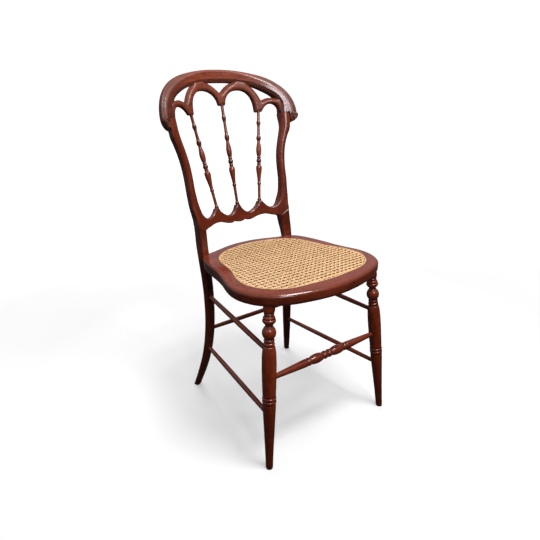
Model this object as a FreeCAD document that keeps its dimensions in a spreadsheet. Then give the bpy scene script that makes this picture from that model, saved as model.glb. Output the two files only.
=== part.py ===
import FreeCAD, Part
import Sketcher
import math
import os
from FreeCAD import Placement, Rotation
from FreeCAD import Vector as V

# Side chair: sabre rear legs, turned front legs, a waisted cane seat and a hoop
# back with an arcade on three turned spindles.
# Frame: +Z up, front of the chair towards -Y, sitter's left towards +X,
# origin on the floor under the middle of the bounding box. Millimetres.

doc = FreeCAD.newDocument("side_chair")
sheet = doc.addObject("Spreadsheet::Sheet", "dims")
row_count = [0]


def dim(alias, value):
    row_count[0] += 1
    r = row_count[0]
    sheet.set("A%d" % r, alias)
    sheet.set("B%d" % r, "%.4f" % value)
    sheet.setAlias("B%d" % r, alias)


# ---------------------------------------------------------------- dimensions

for alias, value in [
    ("y_shift", -23.80),             # centres the bounding box front to back
    # seat frame
    ("seat_height", 436.0), ("seat_pivot_y", -66.8), ("seat_slope", 2.01),
    ("seat_thick", 30.5), ("seat_round_top", 9.0), ("seat_round_bottom", 9.0),
    ("joint_front_y", -140.0), ("joint_rear_y", 88.0),
    ("lip_width", 14.0), ("binder_width", 5.0), ("cane_thick", 1.8), ("binder_thick", 2.4),
    # rear legs
    ("rear_turn", 25.0), ("notch_gap", 0.25),
    # back slope and barrel curve
    ("back_base_y", 190.3), ("back_base_z", 530.0), ("back_slope", 14.155),
    ("back_curve", 372.0), ("frame_front", 7.0), ("frame_back", 12.5),
    ("arcade_front", 5.0), ("arcade_back", 9.5), ("pad_depth", 260.0),
    ("foot_joint_x", 140.5), ("foot_joint_up", -41.0), ("foot_joint_angle", 35.1),
    # front legs
    ("front_foot_x", 196.5), ("front_foot_y", -228.6),
    ("front_ball_x", 169.6), ("front_ball_y", -190.2), ("front_ball_z", 345.0),
    ("leg_tenon_rad", 9.0),
    # stretchers
    ("upper_rear_z", 305.0), ("upper_front_z", 298.5), ("lower_rear_z", 139.5),
    ("lower_front_z", 140.0), ("rear_rung_z", 200.0), ("front_rung_z", 232.3),
    ("rung_end_rad", 5.5), ("rung_mid_rad", 6.4), ("fit_gap", 0.05), ("bottom_gap", 0.5),
    ("front_rung_end_rad", 6.3), ("spindle_tenon_rad", 3.5), ("spindle_tenon_len", 10.0),
    # dowels
    ("seat_dowel_rad", 4.0), ("seat_dowel_len", 40.0),
    ("post_dowel_rad", 3.5), ("post_dowel_len", 34.0),
    ("crest_dowel_rad", 4.5), ("crest_dowel_len", 40.0),
    ("foot_dowel_rad", 4.5), ("foot_dowel_len", 30.0),
    ("rail_dowel_rad", 3.5), ("rail_dowel_len", 24.0),
    ("arcade_dowel_rad", 2.5), ("arcade_dowel_len", 18.0),
]:
    dim(alias, value)

# Rear leg: section centre, width and depth at each height.
REAR_LEG = [
    (0, 174.9, 170.6, 15.4, 16.6), (40, 165.7, 159.5, 17.6, 18.2), (80, 157.1, 149.5, 19.6, 19.6),
    (120, 150.3, 141.8, 21.6, 19.8), (160, 145.3, 136.6, 23.2, 19.8), (200, 142.2, 133.6, 24.0, 19.8),
    (240, 140.5, 132.2, 24.4, 19.7), (280, 140.0, 132.3, 24.9, 19.8), (320, 140.4, 133.6, 25.2, 20.3),
    (360, 141.8, 136.2, 25.6, 21.0), (400, 144.0, 139.8, 25.9, 21.7), (430, 145.6, 143.4, 26.0, 22.4),
    (460, 146.0, 148.8, 26.0, 23.2), (490, 145.4, 154.2, 26.3, 23.2), (530, 145.4, 162.0, 27.0, 22.4),
]
for i, (zz, xx, yy, ww, dd) in enumerate(REAR_LEG):
    for key, value in (("z", zz), ("x", xx), ("y", yy), ("w", ww), ("d", dd)):
        dim("rear_sec_%s_%02d" % (key, i), value)

# Turned profiles: (position along the axis, radius).
FRONT_LEG = [
    (-2.2, 8.6), (4, 8.9), (26, 9.5), (48, 10.3), (70, 11.3), (102, 12.8), (133, 14.3), (154, 15.3),
    (168, 15.7), (171, 15.2), (173, 16.0), (176.9, 16.7), (179.5, 15.9), (181, 15.1), (183, 16.0),
    (185.1, 16.7), (187.5, 16.0), (189.5, 15.2), (192, 15.6), (205, 16.0), (245, 17.0), (275, 17.0),
    (295, 16.4), (306, 15.0), (313, 13.6), (315.5, 12.3), (319, 13.2), (321.5, 12.5), (323.2, 10.6),
    (325, 11.7), (327.3, 12.5), (329.5, 11.7), (331, 10.7), (333.5, 12.0), (336.5, 13.9), (341, 15.5),
    (346, 16.0), (351, 15.3), (356, 13.0), (359.5, 10.5), (362.5, 9.0), (365, 9.7), (368, 12.6),
    (371.5, 15.0), (374, 15.5), (376, 15.0), (378.5, 13.4), (380.5, 14.0), (382.5, 13.2), (386, 10.9),
    (388.8, 11.9), (391.2, 10.8), (393, 12.6), (397, 13.5), (401, 13.6), (406, 13.1), (411.8, 12.6),
    (411.8, 9.0), (431, 9.0),
]
SPINDLE = [
    (3.0, 5.5), (6.0, 5.9), (9.0, 5.5), (11.5, 4.6), (14.0, 4.2), (46.0, 4.3), (49.5, 4.5), (52.7, 5.5),
    (55.2, 4.9), (57.0, 4.6), (62.0, 4.9), (75.0, 6.1), (88.0, 7.7), (96.3, 8.5), (101.0, 8.2),
    (105.0, 6.9), (108.0, 5.1), (109.5, 4.8), (112.0, 5.8), (117.5, 6.9), (122.5, 6.0), (125.5, 4.7),
    (128.5, 5.1), (133.0, 6.2), (140.0, 7.2), (147.8, 7.6), (156.0, 6.9), (164.0, 5.6), (170.0, 4.6),
    (172.5, 4.4), (176.0, 5.8), (180.9, 6.6), (185.0, 6.0), (188.5, 4.8), (191.0, 4.5), (205.0, 4.0),
    (213.0, 3.9), (217.0, 4.8), (223.2, 5.8), (228.0, 5.0), (231.0, 4.2), (238.0, 4.1), (253.0, 4.3),
]
SIDE_MARKS = [3.0, 52.7, 96.3, 117.5, 147.8, 180.9, 223.2, 253.0]
CENTRE_MARKS = [3.0, 59.1, 100.8, 125.2, 154.4, 191.3, 244.5, 277.5]
FRONT_RUNG = [
    (4.5, 6.3), (18.5, 6.3), (27.0, 6.6), (60.0, 8.0), (108.0, 9.9), (112.0, 10.0), (114.0, 9.0), (116.5, 9.9),
    (119.0, 10.2), (121.5, 9.4), (123.0, 9.0), (128.0, 10.0), (137.0, 11.6), (146.0, 12.0), (154.0, 11.4),
    (160.0, 10.0), (163.5, 8.8), (166.0, 8.8), (169.5, 9.9), (172.0, 10.1), (174.5, 9.3), (176.0, 8.6),
]


def remap(value, src, dst):
    for a, b, c, d in zip(src, src[1:], dst, dst[1:]):
        if value <= b or b == src[-1]:
            return c + (value - a) * (d - c) / (b - a)


tilt = math.radians(14.155)
SIDE_LENGTH = math.hypot(math.hypot(35.7, 250.0), 8.9)
TURN = {}
AXIAL = math.sqrt(1 + ((196.5 - 169.6) / 345.0) ** 2 + ((228.6 - 190.2) / 345.0) ** 2)
TURN["fleg"] = [(p * AXIAL + 10.0, r) for p, r in FRONT_LEG]
TURN["sspin"] = [(4.0, 3.5), (14.0, 3.5)]
TURN["sspin"] += [((p - 3.0) * SIDE_LENGTH / 250.0 + 14.0, r) for p, r in SPINDLE]
TURN["sspin"] += [(TURN["sspin"][-1][0], 3.5), (TURN["sspin"][-1][0] + 10.0, 3.5)]
TURN["cspin"] = [(4.0, 3.5), (14.0, 3.5)]
TURN["cspin"] += [(remap(p, SIDE_MARKS, CENTRE_MARKS) - 3.0 + 14.0, r) for p, r in SPINDLE]
TURN["cspin"] += [(TURN["cspin"][-1][0], 3.5), (TURN["cspin"][-1][0] + 10.0, 3.5)]
mid = 178.4
TURN["frung"] = FRONT_RUNG + [(2 * mid - p, r) for p, r in reversed(FRONT_RUNG)]
for prefix in ("fleg", "sspin", "cspin", "frung"):
    for i, (p, r) in enumerate(TURN[prefix]):
        dim("%s_pos_%02d" % (prefix, i), p)
        dim("%s_rad_%02d" % (prefix, i), r)

doc.recompute()


def val(alias):
    return float(getattr(sheet, alias))


YS = val("y_shift")

# ------------------------------------------------------------------- helpers


def role(body, name):
    return [f for f in body.Origin.OriginFeatures if f.Role == name][0]


def new_sketch(body, name, plane):
    sk = body.newObject("Sketcher::SketchObject", name)
    sk.AttachmentSupport = [(role(body, plane), "")]
    sk.MapMode = "FlatFace"
    return sk


def turned(label, prefix):
    """A turned piece: its half profile revolved about the local Z axis."""
    n = len(TURN[prefix])
    body = doc.addObject("PartDesign::Body", label + "_turning")
    sk = new_sketch(body, label + "_profile", "XZ_Plane")
    pts = [V(val("%s_rad_%02d" % (prefix, i)), val("%s_pos_%02d" % (prefix, i)), 0) for i in range(n)]
    chain = [V(0, pts[0].y, 0)] + pts + [V(0, pts[-1].y, 0)]
    lines = [Part.LineSegment(a, b) for a, b in zip(chain, chain[1:])]
    lines.append(Part.LineSegment(chain[-1], chain[0]))
    sk.addGeometry(lines, False)
    cons = []
    m = len(lines)
    for i in range(m):
        cons.append(Sketcher.Constraint("Coincident", i, 2, (i + 1) % m, 1))
    cons.append(Sketcher.Constraint("PointOnObject", 0, 1, -2))
    cons.append(Sketcher.Constraint("PointOnObject", m - 1, 1, -2))
    cons.append(Sketcher.Constraint("Horizontal", 0))
    cons.append(Sketcher.Constraint("Horizontal", m - 2))
    binds = []
    for i in range(n):
        cons.append(Sketcher.Constraint("DistanceX", -1, 1, i, 2, pts[i].x))
        binds.append((len(cons) - 1, "dims.%s_rad_%02d" % (prefix, i)))
        cons.append(Sketcher.Constraint("DistanceY", -1, 1, i, 2, pts[i].y))
        binds.append((len(cons) - 1, "dims.%s_pos_%02d" % (prefix, i)))
    sk.addConstraint(cons)
    for index, expr in binds:
        sk.setExpression("Constraints[%d]" % index, expr)
    rev = body.newObject("PartDesign::Revolution", label + "_revolve")
    rev.Profile = sk
    rev.ReferenceAxis = (sk, ["V_Axis"])
    rev.Angle = 360.0
    return body


def spline(points, first=None, last=None):
    c = Part.BSplineCurve()
    pts = [V(p[0], p[1], 0) for p in points]
    if first is not None:
        c.interpolate(Points=pts, InitialTangent=V(first[0], first[1], 0), FinalTangent=V(last[0], last[1], 0))
    else:
        c.interpolate(pts)
    return c


def outline_pad(label, plane, pieces, length_expr, symmetric):
    """A body padded from an outline of splines (lists of points) and lines (pairs)."""
    body = doc.addObject("PartDesign::Body", label + "_blank")
    sk = new_sketch(body, label + "_outline", plane)
    geo = []
    for p in pieces:
        if isinstance(p, Part.BSplineCurve):
            geo.append(p)
        elif len(p) == 2:
            geo.append(Part.LineSegment(V(p[0][0], p[0][1], 0), V(p[1][0], p[1][1], 0)))
        else:
            geo.append(spline(p))
    sk.addGeometry(geo, False)
    pad = body.newObject("PartDesign::Pad", label + "_pad")
    pad.Profile = sk
    pad.setExpression("Length", length_expr)
    if symmetric:
        pad.Midplane = True
    return body


def rod(name, radius, length, start, direction):
    c = doc.addObject("Part::Cylinder", name)
    c.setExpression("Radius", radius)
    c.setExpression("Height", length)
    c.Placement = Placement(start, Rotation(V(0, 0, 1), direction))
    return c


def cut(label, base, tools):
    if len(tools) == 1:
        tool = tools[0]
    else:
        tool = doc.addObject("Part::MultiFuse", label + "_tools")
        tool.Shapes = tools
    c = doc.addObject("Part::Cut", label)
    c.Base = base
    c.Tool = tool
    return c


def common(label, base, tool):
    c = doc.addObject("Part::Common", label)
    c.Base = base
    c.Tool = tool
    return c


def group(label, members):
    c = doc.addObject("Part::Compound", label)
    c.Links = members
    return c


NODES = {}


def node(name, obj):
    obj.Label = name
    NODES[name] = obj
    return obj


SIDES = (("left", 1), ("right", -1))

# ------------------------------------------------------------ seat, outlines

SEAT = Placement(V(0, val("seat_pivot_y") + YS, val("seat_height")), Rotation(V(1, 0, 0), -val("seat_slope")))
py = val("seat_pivot_y")

OUTER = [
    (0, -245.0), (40, -242.0), (88, -232.8), (130, -219.5), (161, -203.5), (185.5, -184.0), (203.5, -154.0),
    (211.8, -121.0), (210.5, -90.0), (202.5, -58.0), (191.0, -18.0), (183.5, 28.0), (178.5, 62.0),
    (172.5, 89.0), (163.5, 112.0), (148.5, 131.0), (128.0, 143.5), (106.0, 151.5), (86.0, 159.0),
    (45.0, 172.0), (0, 176.5),
]
CANE = [
    (0, -209.8), (37.6, -207.4), (78.9, -203.2), (125.0, -191.6), (163.0, -161.4), (181.5, -116.5),
    (176.2, -68.0), (160.4, -24.3), (151.2, 20.4), (138.6, 72.4), (103.3, 112.2), (53.6, 133.1), (0, 140.5),
]


def whole(points):
    """The full outline from its sitter's-left half."""
    return list(points) + [(-x, y) for x, y in reversed(points)][1:-1]


def closed(points):
    c = Part.BSplineCurve()
    c.interpolate(Points=[V(x, y - py, 0) for x, y in points], PeriodicFlag=True)
    return [c]


def inset(points, distance, count=64):
    """The outline moved inwards by a distance along its normals."""
    c = closed(whole(points))[0]
    out = []
    for i in range(count):
        u = c.FirstParameter + (c.LastParameter - c.FirstParameter) * i / count
        p = c.value(u)
        t = c.tangent(u)[0]
        out.append((p.x - t.y * distance, p.y + t.x * distance + py))
    return out


OPENING = inset(CANE, val("lip_width"))
BINDER_IN = inset(CANE, val("binder_width"))
PANEL = inset(CANE, val("binder_width") + 0.1)

jf = val("joint_front_y")
jr = val("joint_rear_y")


def crossing(c, y_line, lo, hi):
    """Parameter where a closed outline crosses a line across the seat."""
    f_lo = c.value(lo).y + py - y_line
    for k in range(60):
        m = (lo + hi) / 2
        f_m = c.value(m).y + py - y_line
        if (f_m > 0) == (f_lo > 0):
            lo = m
        else:
            hi = m
    return (lo + hi) / 2


def arc_points(points, zone, count):
    """Points along an outline, within one of the four zones of the seat frame."""
    c = closed(points)[0]
    u0, u1 = c.FirstParameter, c.LastParameter
    span = u1 - u0
    half = u0 + span / 2
    ends = {"f": crossing(c, jf, u0 + span * 0.02, half), "r": crossing(c, jr, u0 + span * 0.02, half),
            "F": crossing(c, jf, half, u1 - span * 0.02), "R": crossing(c, jr, half, u1 - span * 0.02)}
    lo, hi = {"front": (ends["F"] - span, ends["f"]), "left": (ends["f"], ends["r"]),
              "back": (ends["r"], ends["R"]), "right": (ends["R"], ends["F"])}[zone]
    out = []
    for i in range(count + 1):
        u = lo + (hi - lo) * i / count
        q = c.value(u if u >= u0 else u + span)
        out.append((q.x, q.y))
    return out


def seat_rail(zone):
    """One rail of the seat frame: outline padded down, its outer arrises rounded."""
    outer = arc_points(whole(OUTER), zone, 36)
    inner = arc_points(OPENING, zone, 28)[::-1]
    label = "seat_rail_" + zone
    body = outline_pad(label, "XY_Plane", [outer, (outer[-1], inner[0]), inner, (inner[-1], outer[0])], "dims.seat_thick", False)
    pad = body.Tip
    pad.Reversed = True
    doc.recompute()
    middle = outer[len(outer) // 2]
    upper, lower = [], []
    for i, e in enumerate(pad.Shape.Edges):
        if e.BoundBox.ZLength < 0.01 and e.distToShape(Part.Vertex(V(middle[0], middle[1], e.BoundBox.ZMax)))[0] < 0.05:
            (upper if e.BoundBox.ZMax > -1.0 else lower).append("Edge%d" % (i + 1))
    soft = body.newObject("PartDesign::Fillet", label + "_round_upper")
    soft.Base = (pad, upper)
    soft.setExpression("Radius", "dims.seat_round_top")
    doc.recompute()
    lower = []
    for i, e in enumerate(soft.Shape.Edges):
        if e.BoundBox.ZMax < -1.0 and e.BoundBox.ZLength < 0.01 and \
                e.distToShape(Part.Vertex(V(middle[0], middle[1], e.BoundBox.ZMax)))[0] < 0.05:
            lower.append("Edge%d" % (i + 1))
    under = body.newObject("PartDesign::Fillet", label + "_round_lower")
    under.Base = (soft, lower)
    under.setExpression("Radius", "dims.seat_round_bottom")
    body.Placement = SEAT
    return body


def seat_point(x, y, z):
    return SEAT.multVec(V(x, y - py, z))


def seat_dir(x, y, z):
    return SEAT.Rotation.multVec(V(x, y, z))


# --------------------------------------------------------------- turned legs

front_axis = V(val("front_ball_x") - val("front_foot_x"), val("front_ball_y") - val("front_foot_y"), val("front_ball_z"))


def front_point(z, sx):
    k = z / val("front_ball_z")
    return V(sx * (val("front_foot_x") + front_axis.x * k), val("front_foot_y") + front_axis.y * k + YS, z)


def front_dir(sx):
    d = V(sx * front_axis.x, front_axis.y, front_axis.z)
    d.normalize()
    return d


def rear_point(z, sx):
    for a, b in zip(REAR_LEG, REAR_LEG[1:]):
        if a[0] <= z <= b[0]:
            k = (z - a[0]) / float(b[0] - a[0])
            return V(sx * (a[1] + (b[1] - a[1]) * k), a[2] + (b[2] - a[2]) * k + YS, z)


def rear_loft(label, sx, grow):
    body = doc.addObject("PartDesign::Body", label)
    secs = []
    for i in range(len(REAR_LEG)):
        sk = new_sketch(body, "%s_section_%02d" % (label, i), "XY_Plane")
        sk.AttachmentOffset = Placement(V(0, 0, 0), Rotation(V(0, 0, 1), -sx * val("rear_turn")))
        sk.setExpression("AttachmentOffset.Base.x", "%d * dims.rear_sec_x_%02d" % (sx, i))
        sk.setExpression("AttachmentOffset.Base.y", "dims.rear_sec_y_%02d + dims.y_shift" % i)
        sk.setExpression("AttachmentOffset.Base.z", "dims.rear_sec_z_%02d" % i)
        w = val("rear_sec_w_%02d" % i) / 2 + grow
        d = val("rear_sec_d_%02d" % i) / 2 + grow
        c = [V(-w, -d, 0), V(w, -d, 0), V(w, d, 0), V(-w, d, 0)]
        sk.addGeometry([Part.LineSegment(c[k], c[(k + 1) % 4]) for k in range(4)], False)
        sk.addConstraint([Sketcher.Constraint("Coincident", k, 2, (k + 1) % 4, 1) for k in range(4)]
                         + [Sketcher.Constraint("Horizontal", 0), Sketcher.Constraint("Horizontal", 2),
                            Sketcher.Constraint("Vertical", 1), Sketcher.Constraint("Vertical", 3),
                            Sketcher.Constraint("Symmetric", 0, 1, 1, 2, -1, 1),
                            Sketcher.Constraint("DistanceX", 0, 1, 0, 2, 2 * w),
                            Sketcher.Constraint("DistanceY", 1, 1, 1, 2, 2 * d)])
        sk.setExpression("Constraints[9]", "dims.rear_sec_w_%02d + %g" % (i, 2 * grow))
        sk.setExpression("Constraints[10]", "dims.rear_sec_d_%02d + %g" % (i, 2 * grow))
        secs.append(sk)
    loft = body.newObject("PartDesign::AdditiveLoft", label + "_loft")
    loft.Profile = (secs[0], [""])
    loft.Sections = [(s, [""]) for s in secs[1:]]
    return body


# ---------------------------------------------------------------- stretchers

FRONT_STOP = 3.0      # the side tenons stop this far short of the front leg's axis
RUNG_SOCKETS = {"front_left": [], "front_right": [], "rear_left": [], "rear_right": []}


def socket(name, key, end, inwards, radius_expr, depth):
    """A blind hole whose bottom lies just past the end of a tenon."""
    d = V(inwards)
    d.normalize()
    start = end + d * 0.5
    c = rod(name, radius_expr + " + dims.fit_gap", "%g" % (depth + 0.5), start, d * -1.0)
    RUNG_SOCKETS[key].append(c)


def plain_rung(label, a, b):
    """A plain round with softly tapered ends, between two points."""
    d = b - a
    length = d.Length
    body = doc.addObject("PartDesign::Body", label + "_turning")
    sk = new_sketch(body, label + "_profile", "XZ_Plane")
    e, m = val("rung_end_rad"), val("rung_mid_rad")
    pts = [V(e, 5, 0), V(e, 19, 0), V(m, length * 0.32, 0), V(m, length * 0.68, 0), V(e, length - 9, 0), V(e, length + 5, 0)]
    chain = [V(0, 5, 0)] + pts + [V(0, length + 5, 0)]
    lines = [Part.LineSegment(p, q) for p, q in zip(chain, chain[1:])]
    lines.append(Part.LineSegment(chain[-1], chain[0]))
    sk.addGeometry(lines, False)
    k = len(lines)
    cons = [Sketcher.Constraint("Coincident", i, 2, (i + 1) % k, 1) for i in range(k)]
    cons += [Sketcher.Constraint("PointOnObject", 0, 1, -2), Sketcher.Constraint("PointOnObject", k - 1, 1, -2),
             Sketcher.Constraint("Horizontal", 0), Sketcher.Constraint("Horizontal", k - 2)]
    binds = []
    for i, p in enumerate(pts):
        cons.append(Sketcher.Constraint("DistanceX", -1, 1, i, 2, p.x))
        binds.append((len(cons) - 1, "dims.rung_mid_rad" if i in (2, 3) else "dims.rung_end_rad"))
        cons.append(Sketcher.Constraint("DistanceY", -1, 1, i, 2, p.y))
    sk.addConstraint(cons)
    for index, expr in binds:
        sk.setExpression("Constraints[%d]" % index, expr)
    rev = body.newObject("PartDesign::Revolution", label + "_revolve")
    rev.Profile = sk
    rev.ReferenceAxis = (sk, ["V_Axis"])
    rev.Angle = 360.0
    d.normalize()
    body.Placement = Placement(a - d * 5.0, Rotation(V(0, 0, 1), d))
    return body


for side, sx in SIDES:
    for level in ("upper", "lower"):
        f_axis = front_point(val(level + "_front_z"), sx)
        r_axis = rear_point(val(level + "_rear_z"), sx)
        u = r_axis - f_axis
        u.normalize()
        a = f_axis + u * FRONT_STOP
        b = r_axis
        name = "side_stretcher_%s_%s" % (level, side)
        node(name, plain_rung(name, a, b))
        socket(name + "_front_hole", "front_" + side, a, u * -1.0, "dims.rung_end_rad", 24.0)
        socket(name + "_rear_hole", "rear_" + side, b, u, "dims.rung_end_rad", 20.0)

a = rear_point(val("rear_rung_z"), -1) + V(2.0, 0, 0)
b = rear_point(val("rear_rung_z"), 1) - V(2.0, 0, 0)
node("rear_stretcher", plain_rung("rear_stretcher", a, b))
socket("rear_rung_hole_right", "rear_right", a, V(-1, 0, 0), "dims.rung_end_rad", 22.0)
socket("rear_rung_hole_left", "rear_left", b, V(1, 0, 0), "dims.rung_end_rad", 22.0)

fr = front_point(val("front_rung_z"), -1)
fl = front_point(val("front_rung_z"), 1)
front_rung = turned("front_stretcher", "frung")
front_rung.Placement = Placement(fr, Rotation(V(0, 0, 1), V(1, 0, 0)))
node("front_stretcher", front_rung)
socket("front_rung_hole_right", "front_right", fr + V(4.5, 0, 0), V(-1, 0, 0), "dims.front_rung_end_rad", 24.0)
socket("front_rung_hole_left", "front_left", fl - V(4.5, 0, 0), V(1, 0, 0), "dims.front_rung_end_rad", 24.0)

# ---------------------------------------------------------------- front legs

LEG_SOCKETS = []
for side, sx in SIDES:
    d = front_dir(sx)
    body = turned("front_leg_" + side, "fleg")
    body.Placement = Placement(front_point(0, sx) - d * 10.0, Rotation(V(0, 0, 1), d))
    floor_cut = doc.addObject("Part::Box", "floor_" + side)
    floor_cut.Length = floor_cut.Width = 80.0
    floor_cut.Height = 40.0
    p = front_point(0, sx)
    floor_cut.Placement = Placement(V(p.x - 40.0, p.y - 40.0, -40.0), Rotation())
    # the collar is trimmed to the underside of the seat frame, the tenon runs on
    tenon_end = front_point(0, sx) + d * (431.0 * AXIAL)
    above = doc.addObject("Part::Box", "above_" + side)
    above.Length = above.Width = 80.0
    above.Height = 50.0
    q = front_point(410.0, sx)
    above.Placement = SEAT.multiply(Placement(V(q.x - 40.0, q.y - YS - py - 40.0, -val("seat_thick")), Rotation()))
    keep = rod("tenon_keep_" + side, "dims.leg_tenon_rad", "90", tenon_end + d * 20.0, d * -1.0)
    trim = cut("collar_trim_" + side, above, [keep])
    node("front_leg_" + side, cut("front_leg_" + side, cut("front_leg_trimmed_" + side, body, [trim]),
                                  [floor_cut] + RUNG_SOCKETS["front_" + side]))
    LEG_SOCKETS.append(rod("leg_mortise_" + side, "dims.leg_tenon_rad + dims.fit_gap", "60", tenon_end + d * 0.8, d * -1.0))

# ----------------------------------------------------------------- rear legs

BACK = Placement(V(0, val("back_base_y") + YS, val("back_base_z")), Rotation(V(1, 0, 0), -val("back_slope")))
RC = val("back_curve")


def sag(x):
    return -(RC - math.sqrt(RC * RC - x * x))


def back_point(x, n, s):
    return BACK.multVec(V(x, n, s))


def back_dir(x, n, s):
    return BACK.Rotation.multVec(V(x, n, s))


fj = math.radians(val("foot_joint_angle"))
FOOT_DOWELS, FOOT_HOLES = [], {}
POST_DOWELS, POST_HOLES = [], {}
NOTCHES = []
for side, sx in SIDES:
    loft = rear_loft("rear_leg_%s_loft" % side, sx, 0.0)
    normal = V(-sx * math.sin(fj), 0, math.cos(fj))
    across = V(0, 1, 0).cross(normal)
    fx, fu = sx * val("foot_joint_x"), val("foot_joint_up")
    base = V(fx, sag(fx), fu)
    cap = doc.addObject("Part::Box", "post_cap_" + side)
    cap.Length = cap.Width = 200.0
    cap.Height = 140.0
    m = FreeCAD.Matrix(across.x, 0, normal.x, 0, across.y, 1, normal.y, 0, across.z, 0, normal.z, 0, 0, 0, 0, 1)
    corner = base - across * 100.0 - V(0, 1, 0) * 100.0
    cap.Placement = BACK.multiply(Placement(corner, Rotation(m)))
    # dowel in line with the post and the stile
    half = val("foot_dowel_len") / 2
    centre = V(fx, sag(fx) + 2.0, fu)
    d_loc = V(0, 0, 1)
    start = BACK.multVec(centre - d_loc * half)
    d_w = BACK.Rotation.multVec(d_loc)
    FOOT_DOWELS.append(rod("foot_dowel_" + side, "dims.foot_dowel_rad", "dims.foot_dowel_len", start, d_w))
    hole = rod("foot_hole_" + side, "dims.foot_dowel_rad + dims.fit_gap", "dims.foot_dowel_len + 2 * dims.bottom_gap",
               start - d_w * 0.5, d_w)
    FOOT_HOLES[side] = hole
    # dowels from the seat frame into the front face of the post
    holes = []
    phi = math.radians(val("rear_turn"))
    n_back = V(sx * math.sin(phi), math.cos(phi), 0)
    for k, z in enumerate((409.0, 421.0)):
        c = rear_point(z, sx)
        end = c + n_back * 5.0
        POST_DOWELS.append(rod("post_dowel_%s_%d" % (side, k), "dims.post_dowel_rad", "dims.post_dowel_len",
                               end - n_back * val("post_dowel_len"), n_back))
        holes.append(rod("post_hole_%s_%d" % (side, k), "dims.post_dowel_rad + dims.fit_gap",
                         "dims.post_dowel_len + 2 * dims.bottom_gap", end - n_back * (val("post_dowel_len") + 0.5), n_back))
    POST_HOLES[side] = holes
    NOTCHES.append(rear_loft("rear_notch_" + side, sx, val("notch_gap")))
    node("rear_leg_" + side, cut("rear_leg_" + side, loft, [cap, hole] + holes + RUNG_SOCKETS["rear_" + side]))

node("stile_foot_dowels", group("stile_foot_dowels", FOOT_DOWELS))
node("rear_post_dowels", group("rear_post_dowels", POST_DOWELS))

# --------------------------------------------------------- seat frame pieces

SEAT_DOWELS, FRONT_HOLES, REAR_HOLES = [], {"left": [], "right": []}, {"left": [], "right": []}
for side, sx in SIDES:
    for k, (x, yj, store) in enumerate(((172.0, jf, FRONT_HOLES), (192.0, jf, FRONT_HOLES),
                                        (133.5, jr, REAR_HOLES), (153.0, jr, REAR_HOLES))):
        L = val("seat_dowel_len")
        d = seat_dir(0, 1, 0)
        start = seat_point(sx * x, yj, -15.0) - d * (L / 2)
        SEAT_DOWELS.append(rod("seat_dowel_%s_%d" % (side, k), "dims.seat_dowel_rad", "dims.seat_dowel_len", start, d))
        store[side].append(rod("seat_hole_%s_%d" % (side, k), "dims.seat_dowel_rad + dims.fit_gap",
                               "dims.seat_dowel_len + 2 * dims.bottom_gap", start - d * 0.5, d))
node("seat_frame_dowels", group("seat_frame_dowels", SEAT_DOWELS))

node("seat_front_rail", cut("seat_front_rail", seat_rail("front"),
                            LEG_SOCKETS + FRONT_HOLES["left"] + FRONT_HOLES["right"]))
node("seat_side_rail_left", cut("seat_side_rail_left", seat_rail("left"),
                                FRONT_HOLES["left"] + REAR_HOLES["left"]))
node("seat_side_rail_right", cut("seat_side_rail_right", seat_rail("right"),
                                 FRONT_HOLES["right"] + REAR_HOLES["right"]))
node("seat_back_rail", cut("seat_back_rail", seat_rail("back"),
                           NOTCHES + REAR_HOLES["left"] + REAR_HOLES["right"] + POST_HOLES["left"] + POST_HOLES["right"]))

panel = outline_pad("cane_panel", "XY_Plane", closed(PANEL), "dims.cane_thick", False)
panel.Placement = SEAT
node("cane_panel", panel)
binder = outline_pad("cane_binder", "XY_Plane", closed(whole(CANE)) + closed(BINDER_IN), "dims.binder_thick", False)
binder.Placement = SEAT
node("cane_binder", binder)

# ----------------------------------------------------------------- hoop back


def shell(name, front_expr, back_expr):
    """A curved plank: the space between two cylinders, in the leaning frame of the back."""
    outer = doc.addObject("Part::Cylinder", name + "_outer")
    outer.setExpression("Radius", "dims.back_curve + " + back_expr)
    outer.Height = 600.0
    inner = doc.addObject("Part::Cylinder", name + "_inner")
    inner.setExpression("Radius", "dims.back_curve - " + front_expr)
    inner.Height = 640.0
    outer.Placement = BACK.multiply(Placement(V(0, -RC, -150.0), Rotation()))
    inner.Placement = BACK.multiply(Placement(V(0, -RC, -170.0), Rotation()))
    return cut(name, outer, [inner])


frame_shell = shell("frame_plank", "dims.frame_front", "dims.frame_back")
arcade_shell = shell("arcade_plank", "dims.arcade_front", "dims.arcade_back")


def flip(points):
    return [(-x, s) for x, s in points]


# crest rail, from ear to ear
UNDER = [(167.5, 244.0), (166.6, 258.0), (162.6, 272.5), (154.2, 287.0), (143.0, 297.2), (130.0, 305.6), (106.0, 317.7),
         (80.0, 326.2), (50.0, 331.2), (25.3, 333.2), (0.0, 333.7)]
OVER = [(190.5, 212.5), (198.0, 215.2), (206.0, 222.3), (211.0, 232.0), (212.3, 244.0), (210.2, 262.0), (204.5, 281.0),
        (194.5, 300.5), (185.0, 313.0), (171.5, 326.2), (153.0, 339.6), (122.0, 353.4), (97.0, 360.3), (44.0, 369.4), (0.0, 371.5)]
crest = outline_pad("crest_rail", "XZ_Plane", [
    UNDER + flip(UNDER)[::-1][1:],
    ((-167.5, 244.0), (-189.5, 244.0)), ((-189.5, 244.0), (-189.5, 212.8)), ((-189.5, 212.8), (-190.5, 212.5)),
    flip(OVER) + OVER[::-1][1:],
    ((190.5, 212.5), (189.5, 212.8)), ((189.5, 212.8), (189.5, 244.0)), ((189.5, 244.0), (167.5, 244.0)),
], "dims.pad_depth", True)
crest.Placement = BACK
CREST_DOWELS, CREST_HOLES = [], {}
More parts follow.
